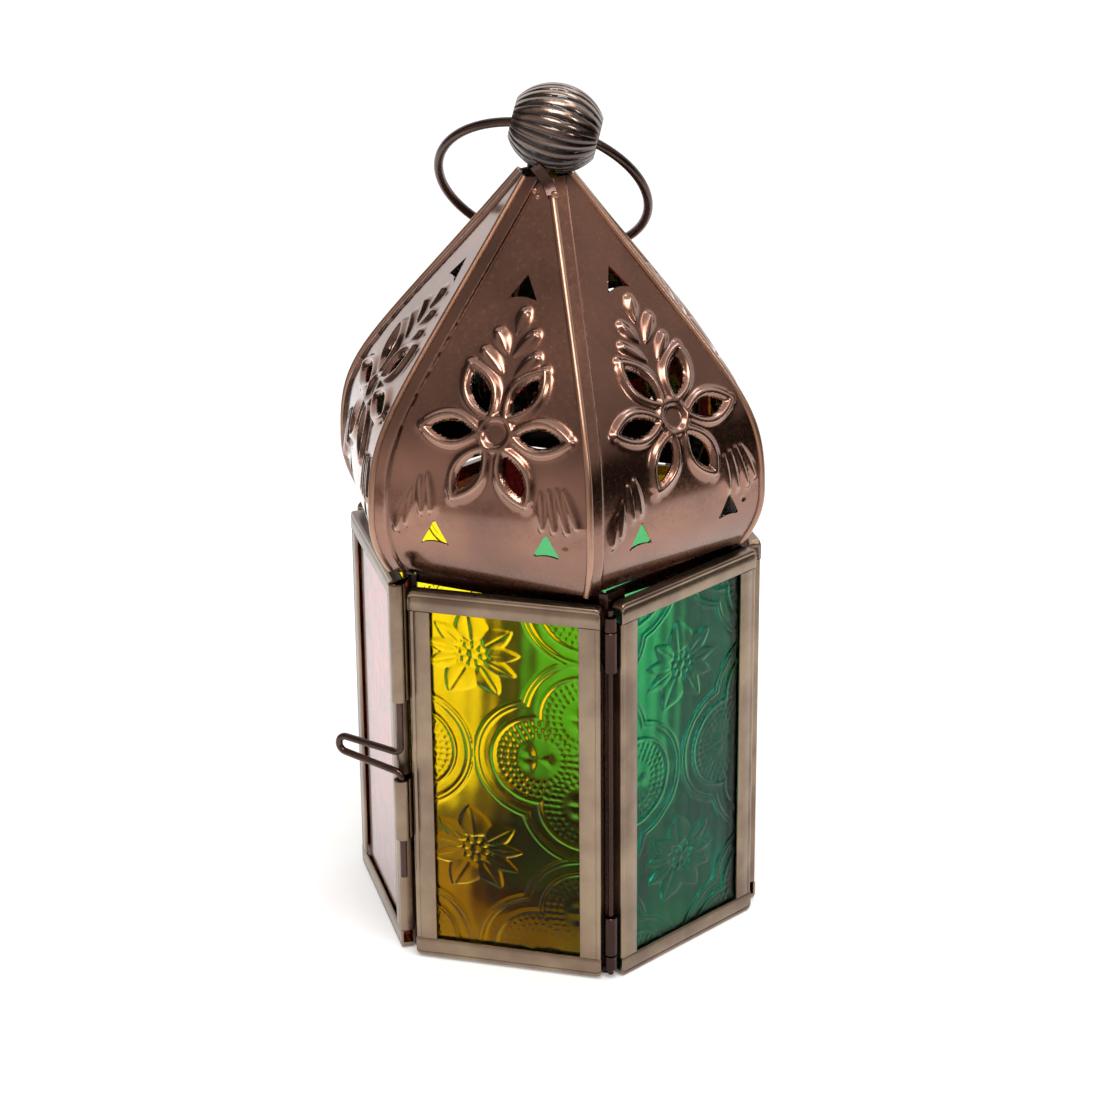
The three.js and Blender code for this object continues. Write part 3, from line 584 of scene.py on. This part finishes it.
def pressed_glass(name, tint, skin):
    """Tinted glass. The tint is what is left of white light after one pane. The rolled back
    blurs what is behind it, and the melt is a little cloudy. It mirrors little, apart from the
    fire-polished skin that some panes have."""
    material = bpy.data.materials.new(name)
    tree, end = fresh_tree(material)
    place = put(tree, "TexCoord").outputs["Object"]
    clouds = put(tree, "TexNoise", {"Vector": place, "Scale": 70.0, "Detail": 2.0})
    seeds = put(tree, "TexNoise", {"Vector": place, "Scale": 1300.0, "Detail": 2.0})
    thin = tuple(c ** 0.85 for c in tint[:3]) + (1.0,)
    thick = tuple(c ** 1.2 for c in tint[:3]) + (1.0,)
    colour = mixed(tree, clouds.outputs[0], thin, thick)
    marks = put(tree, "Bump", {"Strength": 0.25, "Distance": 0.00003, "Height": seeds.outputs[0]})
    dim = ranged(tree, seeds.outputs[0], 0.0, 1.0, 0.16, 0.24)
    glass = put(tree, "BsdfPrincipled", {
        "Base Color": colour, "Normal": marks.outputs[0], "Roughness": dim, "IOR": 1.5,
        "Specular Tint": (0.1, 0.1, 0.1, 1), "Transmission Weight": 1.0, "Coat Weight": skin,
        "Coat Roughness": 0.05, "Coat IOR": 1.6})
    tree.links.new(glass.outputs[0], end.inputs["Surface"])
    return material


glass_skin = {"amber": 0.0, "green": 0.0, "deep_green": 0.0, "red": 0.8}
glass = {tint: pressed_glass(f"glass_{tint}", colour, glass_skin[tint])
         for tint, colour in glass_tints.items()}
pane_tints = {1: "green", 2: "red", 3: "deep_green", 4: "amber", 5: "red"}
pane_foot = (FRAME_HEIGHT - PANE_HEIGHT) / 2
flower_places = {1: (-2.0, 67.0), 2: (6.0, 60.0), 3: (-9.0, 70.0), 4: (2.0, 58.0), 5: (-5.0, 64.0)}
for side, tint in pane_tints.items():
    points, faces = pressed_pane(pane_foot, PANE_HEIGHT, *flower_places[side], RELIEF[tint],
                                 tint == "red")
    add_piece(f"pressed_pane_{side}", about_axis(points, 60 * side), faces, [glass[tint]],
              "root", [f"glass_pane_{side}"], crease=60)

# Door
#
# The front frame with its amber pane. It is made as the others are, and a little shorter, so
# that it swings clear of the table and of the roof.

DOOR_FOOT = 0.5
DOOR_HEIGHT = 85.5
DOOR_PANE_HEIGHT = 81.5
DOOR_FLOWER = (-6.9, 73.0)

door_points, door_faces = folded_frame(DOOR_FOOT, DOOR_HEIGHT)
add_piece("folded_door_frame", door_points, door_faces, [frame_lacquer], "door",
          ["door_frame"], crease=50)
door_pane_foot = DOOR_FOOT + (DOOR_HEIGHT - DOOR_PANE_HEIGHT) / 2
points, faces = pressed_pane(door_pane_foot, DOOR_PANE_HEIGHT, *DOOR_FLOWER, RELIEF["amber"])
add_piece("pressed_door_pane", points, faces, [glass["amber"]], "door",
          ["door_glass"], crease=60)

# Hinge
#
# A straight wire pin in the corner on the door's right. Two brackets of rolled sheet hold it
# on the corner post, and two knuckles on the door turn about it.

PIN_PLACE = np.array([22.094, -38.268])
PIN_RADIUS = 0.6
PIN_ENDS = (1.0, 85.5)
KNUCKLE_BORE = 0.9
KNUCKLE_RADIUS = 1.4
KNUCKLE_LENGTH = 9.0
KNUCKLE_FEET = {"lower": 5.8, "upper": 71.7}

wire_lacquer = lacquered("wire_lacquer", shade_of(82, 60, 52), shade_of(46, 32, 28),
                         shade_of(186, 152, 134), grain=2200.0, clouds=160.0, dents=0.00004)


def round_wire(path, across, radius, sides, closed=False):
    """A round wire whose path lies in one plane. Each station carries a circle spanned by the
    plane's normal and by the direction square to that normal and to the path."""
    path = np.asarray(path, float)
    ahead = (np.roll(path, -1, 0) - np.roll(path, 1, 0)) if closed else np.gradient(path, axis=0)
    ahead /= np.linalg.norm(ahead, axis=1, keepdims=True)
    side = np.cross(across, ahead)
    angle = np.linspace(0, 2 * np.pi, sides, endpoint=False)[None, :, None]
    circle = np.cos(angle) * side[:, None] + np.sin(angle) * np.asarray(across)
    points = (path[:, None] + radius * circle).reshape(-1, 3)
    if closed:
        return points, facing_out(points, grid_quads(len(path), sides, True, True)).tolist()
    return closed_tube(points, len(path))


def rolled_knuckle(foot):
    """A short tube round the pin with softened lips."""
    soft, top = 0.12, foot + KNUCKLE_LENGTH
    inner, outer = KNUCKLE_BORE, KNUCKLE_RADIUS
    profile = np.array([
        [inner, foot + soft], [inner + soft, foot], [outer - soft, foot], [outer, foot + soft],
        [outer, top - soft], [outer - soft, top], [inner + soft, top], [inner, top - soft]])
    points, quads = turned_profile(profile, 40)
    return points + [*PIN_PLACE, 0], quads.tolist()


pin_path = [(*PIN_PLACE, height) for height in PIN_ENDS]
points, faces = round_wire(pin_path, (1, 0, 0), PIN_RADIUS, 20)
add_piece("hinge_pin_wire", points, faces, [post_lacquer_and_shade], "root", ["hinge_pin"])
for name, foot in KNUCKLE_FEET.items():
    points, faces = rolled_knuckle(foot)
    add_piece(f"rolled_knuckle_{name}", points, faces, [post_lacquer_and_shade], "door",
              [f"hinge_knuckle_{name}"])
    refinish(f"hinge_bracket_{name}", post_lacquer_and_shade)

# Latch
#
# Two sleeves of sheet rolled on the door's left edge hold one bent wire. A finger loop between
# them lifts the wire, which is the door's bolt.

LATCH_PLACE = np.array([-22.394, -41.05])
SLEEVE_RADIUS = 1.6
SLEEVE_BORE = 0.95
SLEEVE_REACH = 3.75
SLEEVE_SEAM = 338
LEAF_SHEET = 0.55
SLEEVES = {"upper": (61.4, 26.4), "lower": (29.2, 13.8)}
WIRE_RADIUS = 0.75
WIRE_TOP = 76.7
WIRE_FOOT = 20.0
LOOP_TOP = 49.1
LOOP_FOOT = 44.5
LOOP_REACH = 15.2
LOOP_TIP = 1.75
LOOP_TIP_HEIGHT = 48.3
LOOP_BEND = 1.5
LOOP_TURN = 166


def rolled_sleeve(foot, length):
    """A sleeve rolled from the door's edge: the sheet comes forward from the frame as a leaf,
    goes once round the wire and ends in a seam. The outline is carried straight up."""
    leaf_out = SLEEVE_RADIUS + 0.1
    leaf_in = leaf_out - LEAF_SHEET
    outside = arc(0, 0, SLEEVE_RADIUS, 0, SLEEVE_SEAM, 40)
    inside = arc(0, 0, SLEEVE_BORE, SLEEVE_SEAM, 30, 36)
    outline = np.vstack([
        [[leaf_out, SLEEVE_REACH], [leaf_out, 0.4]], outside[1:], inside,
        [[leaf_in, 1.0], [leaf_in, SLEEVE_REACH]]])
    soft = 0.1
    levels = np.array([foot, foot + soft, foot + length - soft, foot + length])
    draw = np.array([soft, 0, 0, soft])
    centre = outline.mean(0)
    shrink = 1 - draw[:, None, None] / (2 * SLEEVE_REACH)
    flat = centre + (outline - centre) * shrink + LATCH_PLACE
    upright = levels[:, None, None] + 0 * flat[..., :1]
    return closed_tube(np.concatenate([flat, upright], -1).reshape(-1, 3), len(levels))


for name, (foot, length) in SLEEVES.items():
    points, faces = rolled_sleeve(foot, length)
    add_piece(f"rolled_sleeve_{name}", points, faces, [frame_lacquer], "door",
              [f"latch_sleeve_{name}"], crease=50)


def rounded_corners(corners, steps=9):
    """A path through corners in a plane, each given as x, z and bend radius. A bend is the arc
    that touches both legs, and its middle lies on the line that halves the corner."""
    places = np.array([corner[:2] for corner in corners], float)
    path = [places[0]]
    for i in range(1, len(corners) - 1):
        before = places[i - 1] - places[i]
        after = places[i + 1] - places[i]
        before /= np.linalg.norm(before)
        after /= np.linalg.norm(after)
        half = math.acos(np.clip(before @ after, -1, 1)) / 2
        radius = corners[i][2]
        inward = (before + after) / np.linalg.norm(before + after)
        middle = places[i] + inward * radius / math.sin(half)
        start = places[i] + before * radius / math.tan(half) - middle
        stop = places[i] + after * radius / math.tan(half) - middle
        share = np.linspace(0, 1, steps)[:, None]
        sweep = math.acos(np.clip(start @ stop / radius ** 2, -1, 1))
        spread = (np.sin((1 - share) * sweep) * start + np.sin(share * sweep) * stop)
        path.extend(middle + spread / math.sin(sweep))
    path.append(places[-1])
    return np.array(path)


latch_line = rounded_corners([
    (0, WIRE_TOP), (0, LOOP_TOP, LOOP_BEND),
    (LOOP_REACH, LOOP_TIP_HEIGHT + LOOP_TIP, LOOP_TIP),
    (LOOP_REACH, LOOP_TIP_HEIGHT - LOOP_TIP, LOOP_TIP),
    (0, LOOP_FOOT, LOOP_BEND), (0, WIRE_FOOT)])
loop_out = np.array([math.cos(math.radians(LOOP_TURN)), math.sin(math.radians(LOOP_TURN)), 0])
latch_path = latch_line[:, :1] * loop_out + latch_line[:, 1:] * np.array([0, 0, 1])
latch_path += [*LATCH_PLACE, 0]
points, faces = round_wire(latch_path, np.cross(loop_out, (0, 0, 1)), WIRE_RADIUS, 20)
add_piece("latch_bolt_wire", points, faces, [wire_lacquer], "latch", ["latch_wire"])

# Collar
#
# Six strips of sheet soldered between the tops of the posts, their lower edges cut aslant. They
# stiffen the body under the roof, and leave the light a slit over the left half of each frame.

COLLAR_APOTHEM = 35.3
COLLAR_SHEET = 0.4
COLLAR_TOP = 88.0
COLLAR_FOOT = (86.1, 83.0)

half = COLLAR_APOTHEM * math.tan(math.radians(30)) - 0.5
collar_outline = np.array([(-half, COLLAR_FOOT[0]), (half, COLLAR_FOOT[1]),
                           (half, COLLAR_TOP), (-half, COLLAR_TOP)])
front, back = (np.column_stack([collar_outline[:, 0], 0 * collar_outline[:, 0] - reach,
                                collar_outline[:, 1]])
               for reach in (COLLAR_APOTHEM, COLLAR_APOTHEM - COLLAR_SHEET))
strip = np.vstack([front, back])
strip_faces = [[0, 1, 2, 3], [7, 6, 5, 4], [1, 0, 4, 5], [2, 1, 5, 6], [3, 2, 6, 7], [0, 3, 7, 4]]
points, faces = joined([(about_axis(strip, 60 * side), strip_faces) for side in range(6)])
add_piece("post_collar", points, faces, [post_lacquer_and_shade], "root", [])

# Roof gores
#
# Six gores of thin sheet, stamped flat with a pierced flower, leaf sprays and triangles, then
# bent to the onion's curve. Each folds over its neighbour along the ridge in a round hem, and
# the fold lies on the neighbour as a narrow band.

ROOF_TURN = -4.8
ROOF_PLACE = np.array([-0.9, -0.3, 88.4])
HALF_SIDE = math.radians(30)
ORNAMENT_OFFSET = 2.2
FLOWER_HEIGHT = 34.0
HOLE = (4.8, 14.0, 3.6)
HOLE_RIM = (3.4, 15.8, 5.9)
BOSS_RADIUS = 3.3
TRIANGLES = ((0, 62.2), (-12, 9.3), (12, 9.3))
TRIANGLE_HALF = 3.1
TRIANGLE_RISE = 5.6
TRIANGLE_HOLLOW = 1.4
LEAVES = np.array([
    (1.2, 59.5, 0.4, 55.0), (-3.4, 54.7, -1.0, 50.8), (-5.4, 50.6, -1.2, 46.6),
    (4.2, 55.0, 0.8, 50.4), (5.4, 50.4, 2.0, 46.2),
    (11.4, 15.9, 10.7, 23.4), (13.8, 15.7, 12.4, 24.0), (16.6, 15.8, 14.1, 24.4),
    (18.6, 17.0, 15.6, 24.4), (-12.8, 16.9, -13.5, 24.4), (-14.7, 16.3, -15.2, 23.6),
    (-18.1, 13.4, -16.8, 20.8), (-20.1, 12.0, -18.4, 18.4)])
BAND_WIDTH = 3.0
HEM_RADIUS = 0.75
HEM_SUNK = 0.14
HEM_ROOM = 0.45
GORE_SHEET = 0.45
GORE_ROWS = 232
GORE_COLUMNS = 122


def bent_line(handles, share):
    """A Bezier line: the handles are drawn together pair by pair until one point is left."""
    handles = np.asarray(handles, float)[:, None, :] + 0 * share[None, :, None]
    while len(handles) > 1:
        handles = handles[:-1] + share[None, :, None] * (handles[1:] - handles[:-1])
    return handles[0]


share = np.linspace(0, 1, 400)
onion = np.vstack([
    bent_line([(42.8, 0), (47.2, 6.1), (47.2, 12.2)], share),
    bent_line([(47.2, 12.2), (47.2, 32.6), (42.5, 32.6), (5.8, 76.5)], share)[1:],
]) * [math.cos(HALF_SIDE), 1]
onion_length = np.concatenate([[0], np.cumsum(np.hypot(*np.diff(onion, axis=0).T))])
onion_ahead = np.gradient(onion, axis=0)
onion_ahead /= np.linalg.norm(onion_ahead, axis=1, keepdims=True)


def along_onion(distance, values):
    """Values of the onion's outline at distances along it from the rim."""
    return np.interp(distance, onion_length, values)


def petal_edge(across, along, angle, inner, outer, control):
    """Distance outside a petal that points away from the flower's middle. Its half width is a
    parabola along it, and beyond its tips the distance is to the tip."""
    out = across * math.cos(angle) + (along - FLOWER_HEIGHT) * math.sin(angle)
    off = (along - FLOWER_HEIGHT) * math.cos(angle) - across * math.sin(angle)
    length = outer - inner
    share = np.clip((out - inner) / length, 0, 1)
    half = 2 * control * share * (1 - share)
    slope = 2 * control * (1 - 2 * share) / length
    beside = (np.abs(off) - half) / np.sqrt(1 + slope ** 2)
    beyond = np.hypot(out - np.clip(out, inner, outer), off)
    return np.where((out > inner) & (out < outer), beside, beyond)


def triangle_edge(across, along, middle, foot):
    """Distance outside an upright triangle whose foot is a shallow hollow."""
    off = np.abs(across - middle)
    up = along - foot
    flank = (off * TRIANGLE_RISE + up * TRIANGLE_HALF - TRIANGLE_HALF * TRIANGLE_RISE)
    flank = flank / math.hypot(TRIANGLE_RISE, TRIANGLE_HALF)
    share = np.clip(0.5 + off / (2 * TRIANGLE_HALF), 0, 1)
    return np.maximum(flank, 2 * TRIANGLE_HOLLOW * share * (1 - share) - up)


PETAL_ANGLES = np.radians(np.arange(0, 360, 60))


def pierced(across, along):
    """Distance outside the nearest hole of a gore, below zero inside it."""
    gaps = [petal_edge(across, along, angle, *HOLE) for angle in PETAL_ANGLES]
    gaps += [triangle_edge(across, along, *place) for place in TRIANGLES]
    return np.minimum.reduce(gaps)


def embossed(across, along):
    """Height of the stamped relief: a fat round ridge about each petal, the boss, and the leaf
    lobes, each a bump that is fullest a third of the way in from its tip."""
    edges = [petal_edge(across, along, angle, *HOLE_RIM) for angle in PETAL_ANGLES]
    relief = 0.95 * np.maximum.reduce([ridge(edge, 0.95) for edge in edges])
    relief = relief - 0.18 * np.clip(-np.minimum.reduce(edges), 0, 1)
    reach = np.hypot(across, along - FLOWER_HEIGHT)
    boss = 0.85 * ridge(reach - BOSS_RADIUS, 0.85) - 0.3 * ridge(reach, 1.6)
    relief = np.where(reach < BOSS_RADIUS, boss, np.maximum(boss, relief))
    for tip_x, tip_s, stalk_x, stalk_s in LEAVES:
        run = np.array([stalk_x - tip_x, stalk_s - tip_s])
        length = np.hypot(*run)
        share = ((across - tip_x) * run[0] + (along - tip_s) * run[1]) / length ** 2
        share = np.clip(share, 0, 1)
        gap = np.hypot(across - tip_x - share * run[0], along - tip_s - share * run[1])
        girth = 1.25 * np.sin(np.pi * (0.25 + 0.7 * share)) ** 0.8
        relief = np.maximum(relief, 0.95 * (1 - 0.55 * share) * ridge(gap, girth))
    dot = np.hypot(across - 16.1, along - 12.6)
    return relief - 0.35 * ridge(dot, 0.45)


def rim_walls(parts, count):
    """Quads down from each edge that only one face has, to the points that lie count further on
    in the list."""
    edges = np.concatenate([np.stack([part, np.roll(part, -1, 1)], -1).reshape(-1, 2)
                            for part in parts])
    code = edges @ [count, 1]
    a, b = edges[~np.isin(code, edges @ [1, count])].T
    return np.column_stack([b, a, a + count, b + count])


def gore_surface():
    """The front gore before the roof is turned: points, faces, each point's tone, and how many of
    the faces lie outside. A grid runs along the onion's curve and from ridge to ridge. Points
    near a hole are drawn onto its outline by less than half a step, and what lies inside it is
    left out."""
    row, column = np.meshgrid(np.arange(GORE_ROWS, dtype=float),
                              np.arange(GORE_COLUMNS, dtype=float), indexing="ij")

    def on_sheet(row, column):
        along = row / (GORE_ROWS - 1) * onion_length[-1]
        half = along_onion(along, onion[:, 0]) * math.tan(HALF_SIDE)
        left = HEM_ROOM - half
        across = left + column / (GORE_COLUMNS - 1) * (half - left)
        return across, along

    def gap(row, column):
        across, along = on_sheet(row, column)
        return pierced(across - ORNAMENT_OFFSET, along)

    tiny = 0.01
    for pull in range(2):
        here = gap(row, column)
        by_row = (gap(row + tiny, column) - here) / tiny
        by_column = (gap(row, column + tiny) - here) / tiny
        step = -here / (by_row ** 2 + by_column ** 2 + 1e-9)
        near = np.maximum(np.abs(step * by_row), np.abs(step * by_column)) <= 0.5
        row = row + np.where(near, step * by_row, 0)
        column = column + np.where(near, step * by_column, 0)
    across, along = on_sheet(row, column)
    hole = gap(row, column)

    relief = embossed(across - ORNAMENT_OFFSET, along)
    half = along_onion(along, onion[:, 0]) * math.tan(HALF_SIDE)
    from_left = across + half - HEM_ROOM
    band = np.clip((BAND_WIDTH - from_left) / 0.25 + 0.5, 0, 1)
    crease = ridge(from_left - BAND_WIDTH - 0.25, 0.2)
    sag = 0.18 * np.sin(across / 9 + 1) * np.sin(along / 13)
    fade = np.clip(along / 2, 0, 1) * np.clip((onion_length[-1] - along) / 4, 0, 1)
    lift = relief * (1 - band) + band * (0.1 + 0.42 * from_left / BAND_WIDTH)
    lift = lift - 0.1 * crease + sag * fade * (1 - band)

    soft = lift
    for smoothing in range(14):
        around = np.pad(soft, 1, mode="edge")
        soft = (around[:-2, 1:-1] + around[2:, 1:-1] + around[1:-1, :-2] + around[1:-1, 2:]) / 4
    # Painted shade: the tone is lowered near the rim, where the sheet turns under, near the crown,
    # and along the band's crease, where the fold's edge shades the sheet.
    painted_shade_at_ends = 0.17 * ridge(along, 8) + 0.3 * ridge(onion_length[-1] - along, 3.5)
    tone = np.clip(0.5 + 0.3 * (lift - soft) - 0.2 * crease - painted_shade_at_ends, 0, 1)

    def raised(lift):
        distance = along_onion(along, onion[:, 0]) + lift * along_onion(along, onion_ahead[:, 1])
        height = along_onion(along, onion[:, 1]) - lift * along_onion(along, onion_ahead[:, 0])
        return np.stack([across, -distance, height], -1).reshape(-1, 3)

    points = raised(lift)
    quads = grid_quads(GORE_ROWS, GORE_COLUMNS)
    corner_gap = hole.reshape(-1)[quads]
    middle = points[quads].mean(1)
    inside = corner_gap < -0.02
    kept = inside.sum(1) == 0
    on_outline = (np.abs(corner_gap) < 0.03).all(1)
    middle_gap = pierced(middle[:, 0] - ORNAMENT_OFFSET, along.reshape(-1)[quads].mean(1))
    kept &= ~(on_outline & (middle_gap < 0))
    cut = quads[inside.sum(1) == 1]
    drop = np.argmax(inside[inside.sum(1) == 1], 1)
    order = (drop[:, None] + [1, 2, 3]) % 4
    corners = [quads[kept].ravel(), np.take_along_axis(cut, order, 1).ravel()]
    used, renumbered = np.unique(np.concatenate(corners), return_inverse=True)
    whole = renumbered[:len(corners[0])].reshape(-1, 4)
    clipped = renumbered[len(corners[0]):].reshape(-1, 3)
    points = np.vstack([points[used], raised(lift - GORE_SHEET)[used]])
    walls = rim_walls([whole, clipped], len(used))
    faces = [face for part in (whole, clipped, walls, len(used) + whole[:, ::-1],
                               len(used) + clipped[:, ::-1]) for face in part.tolist()]
    outside = len(whole) + len(clipped) + len(walls)
    return points, faces, np.tile(tone.reshape(-1)[used], 2), outside


def hem_wire():
    """The round hem along the ridge on the gore's right, its middle a little inside the ridge."""
    distance = np.linspace(0, onion_length[-1], 120)
    radius = along_onion(distance, onion[:, 0]) / math.cos(HALF_SIDE)
    radius = radius - HEM_SUNK * along_onion(distance, onion_ahead[:, 1])
    height = along_onion(distance, onion[:, 1] + HEM_SUNK * onion_ahead[:, 0])
    ridge_out = np.array([math.sin(HALF_SIDE), -math.cos(HALF_SIDE), 0])
    path = radius[:, None] * ridge_out + height[:, None] * np.array([0, 0, 1])
    return round_wire(path, np.cross(ridge_out, (0, 0, 1)), HEM_RADIUS, 14)


roof_lacquer = lacquered("roof_lacquer", shade_of(148, 104, 84), shade_of(92, 60, 48),
                         shade_of(226, 190, 166), grain=1100.0, clouds=45.0, dents=0.00001,
                         dull=0.04, coat_weight=1.0, tone="tone")
hem_lacquer = lacquered("hem_lacquer", shade_of(176, 132, 106), shade_of(130, 94, 76),
                        shade_of(240, 206, 182), grain=1500.0, clouds=70.0, dents=0.00001,
                        dull=0.2, coat_weight=1.0)
# Painted shade: the inside faces of the gores take a near-black lacquer, so the roof reads dark
# through its holes.
roof_inside_shade = lacquered("roof_inside_shade", shade_of(40, 28, 24), shade_of(18, 13, 12),
                      shade_of(70, 52, 44))


def on_roof(points, side=0):
    """Points of the front gore's side of the roof, put on one of its six sides."""
    return about_axis(points, 60 * side + ROOF_TURN) + ROOF_PLACE


gore_points, gore_faces, gore_tone, gore_outside = gore_surface()
# The inside faces take the painted shade.
shaded_inside = (np.arange(len(gore_faces)) >= gore_outside).astype(np.int32)
hem_points, hem_faces = hem_wire()
for side in range(6):
    name = f"roof_gore_{side + 1}"
    gore = add_piece(f"stamped_gore_{side + 1}", on_roof(gore_points, side), gore_faces,
                     [roof_lacquer, roof_inside_shade], "root", [name], crease=70)
    gore.data.attributes.new("tone", "FLOAT", "POINT").data.foreach_set("value", gore_tone)
    gore.data.polygons.foreach_set("material_index", shaded_inside)
    add_piece(f"ridge_hem_{side + 1}", on_roof(hem_points, side), hem_faces, [hem_lacquer],
              "root", [name])

# Bead
#
# A hollow bead pressed from sheet, a little longer than it is thick, in sharp flutes that run
# from one end of its bore to the other. The ring passes through it, so its bore lies along the
# ring's axis.

BEAD_PLACE = np.array([1.2, 0.0, 174.077])
BEAD_RADIUS = 9.2
BEAD_REACH = 10.2
RING_AXIS = np.array([0.958094, 0.158611, -0.238533])
RING_DOWN = np.array([-0.2855, 0.5967, -0.74995])
RING_RADIUS = 22.5
RING_WIRE = 1.0
FLUTES = 25
FLUTE_DEPTH = 0.5
BORE_PLAY = 0.35


def fluted_bead():
    """The bead about its bore. Outside, each point lies on an ellipse turned about the bore, less
    the flutes: they cut in as one minus the square root of a rectified sine that runs round, and
    fade to the ends. Inside, the bore widens to both ends as the curved ring needs. The tone is
    painted light: low in the flutes as painted shade, rising from the bead's foot to its top as
    light from above, and highest on the crests as painted highlights."""
    def bore(offset):
        return RING_RADIUS - np.sqrt(RING_RADIUS ** 2 - offset ** 2) + RING_WIRE + BORE_PLAY
    mouth = bore(np.float64(BEAD_REACH)) + 0.5
    end = math.acos(mouth / BEAD_RADIUS)
    around = np.linspace(0, 2 * np.pi, FLUTES * 12, endpoint=False)[:, None]
    tilt = np.linspace(end, -end, 60)[None, :]
    uneven = 1 + 0.3 * np.sin(3 * around + 1) + 0.25 * np.sin(7 * around + 4 * tilt)
    waver = 0.35 * np.sin(2 * around + 3 * tilt) + 0.5 * np.sin(5 * around)
    groove = 1 - np.abs(np.sin(FLUTES * around / 2 + waver)) ** 0.5
    depth = FLUTE_DEPTH * uneven * groove * np.cos(tilt) ** 0.6
    radius = BEAD_RADIUS - 0.05 - depth
    outer_reach = radius * np.cos(tilt)
    outer_along = BEAD_REACH * np.sin(tilt) + 0 * around
    offsets = np.linspace(-1, 1, 24)[None, 1:-1] * BEAD_REACH * math.sin(end)
    inner_reach = bore(offsets) + 0 * around
    reach = np.hstack([outer_reach, inner_reach])
    along = np.hstack([outer_along, offsets + 0 * around])
    up = np.cross(RING_AXIS, (0, 1, 0))
    up /= np.linalg.norm(up)
    side = np.cross(RING_AXIS, up)
    points = (along[..., None] * RING_AXIS + (reach * np.cos(around))[..., None] * up
              + (reach * np.sin(around))[..., None] * side).reshape(-1, 3)
    quads = facing_out(points, grid_quads(len(around), reach.shape[1], True, True))
    # Painted light: the tone rises towards the top, as if lit from above, and falls in the flutes
    # as painted shade.
    rubbed_and_highlight = 0.62 + 0.15 * points[:, 2].reshape(reach.shape) / BEAD_RADIUS
    tone = np.clip(rubbed_and_highlight - 2.0 * np.hstack([depth, 0.2 + 0 * inner_reach]), 0, 1)
    return points + BEAD_PLACE, quads, tone.reshape(-1)


# Painted light: the tone gives the flutes and the foot the shade colour, painted shade, and the
# crests near the top the light colour, painted highlights.
bead_lacquer = lacquered("bead_lacquer", shade_of(80, 58, 48), shade_of(28, 19, 16),
                         shade_of(206, 176, 156), grain=1300.0, clouds=120.0, dents=0.00005,
                         dull=0.05, coat_weight=1.0, coat_ior=1.6, tone="tone")
bead_points, bead_faces, bead_tone = fluted_bead()
bead = add_piece("fluted_bead", bead_points, bead_faces, [bead_lacquer], "root",
                 ["finial_bead"], crease=60)
bead.data.attributes.new("tone", "FLOAT", "POINT").data.foreach_set("value", bead_tone)

# Strap
#
# A short strip of sheet that holds the bead: it comes from under it, in at the neck and out
# over the top of the front ridge. Three drops of solder hold it and the gores.

STRAP_WIDTH = 2.4
STRAP_SHEET = 0.5
STRAP_LINE = [(0.2, -6.6, 79.5), (1.1, -6.3, 78.2), (2.2, -6.3, 76.9), (3.1, -6.7, 75.7),
              (3.8, -7.3, 74.7), (4.1, -7.7, 74.0)]
DROP_SHAPE = [1, 0.6, 1]
SOLDER_DROPS = [(0.1, -6.9, 74.2, 0.7), (0.9, -7.5, 73.2, 0.55), (4.6, -7.5, 74.0, 0.9)]


def strap_shell():
    """A thin strip along a line, turned to face away from the roof's axis. The line is smoothed
    by averaging each point with its neighbours a few times."""
    line = np.array(STRAP_LINE)
    shares = np.linspace(0, len(line) - 1, 36)
    line = np.stack([np.interp(shares, np.arange(len(line)), axis) for axis in line.T], -1)
    for smoothing in range(12):
        line[1:-1] = (line[:-2] + 2 * line[1:-1] + line[2:]) / 4
    ahead = np.gradient(line, axis=0)
    ahead /= np.linalg.norm(ahead, axis=1, keepdims=True)
    outward = line * [1, 1, 0]
    outward -= (outward * ahead).sum(1, keepdims=True) * ahead
    outward /= np.linalg.norm(outward, axis=1, keepdims=True)
    side = np.cross(ahead, outward)
    half, thick, ease = STRAP_WIDTH / 2, STRAP_SHEET / 2, 0.12
    section = np.array([(-half, -thick + ease), (-half + ease, -thick), (half - ease, -thick),
                        (half, -thick + ease), (half, thick - ease), (half - ease, thick),
                        (-half + ease, thick), (-half, thick - ease)])
    points = (line[:, None] + section[None, :, :1] * side[:, None]
              + section[None, :, 1:] * outward[:, None]).reshape(-1, 3)
    return closed_tube(points, len(line))


def solder_drop(x, y, z, radius):
    """A round drop, flattened from front to back."""
    rise = np.linspace(-0.48, 0.48, 11) * np.pi
    profile = radius * np.column_stack([np.cos(rise), np.sin(rise)])
    points, quads = turned_profile(profile, 20)
    return points * DROP_SHAPE + [x, y, z], quads.tolist()


points, faces = strap_shell()
add_piece("bead_strap", on_roof(points), faces, [wire_lacquer], "root",
          ["finial_strap"], crease=40)
points, faces = joined([solder_drop(*drop) for drop in SOLDER_DROPS])
add_piece("solder_drops", on_roof(points), faces, [hem_lacquer], "root", [])

# Carrying ring
#
# One round wire bent to a full circle through the bead and butted inside it. It lies back on
# the roof.

ring_turn = np.linspace(0, 2 * np.pi, 120, endpoint=False)[:, None]
ring_path = (BEAD_PLACE + RING_RADIUS * (1 - np.cos(ring_turn)) * RING_DOWN
             + RING_RADIUS * np.sin(ring_turn) * RING_AXIS)
ring_across = np.cross(RING_AXIS, RING_DOWN)
ring_across /= np.linalg.norm(ring_across)
points, faces = round_wire(ring_path, ring_across, RING_WIRE, 20, closed=True)
add_piece("ring_wire", points, faces, [wire_lacquer], "ring", ["carry_ring"])

bpy.context.view_layer.update()
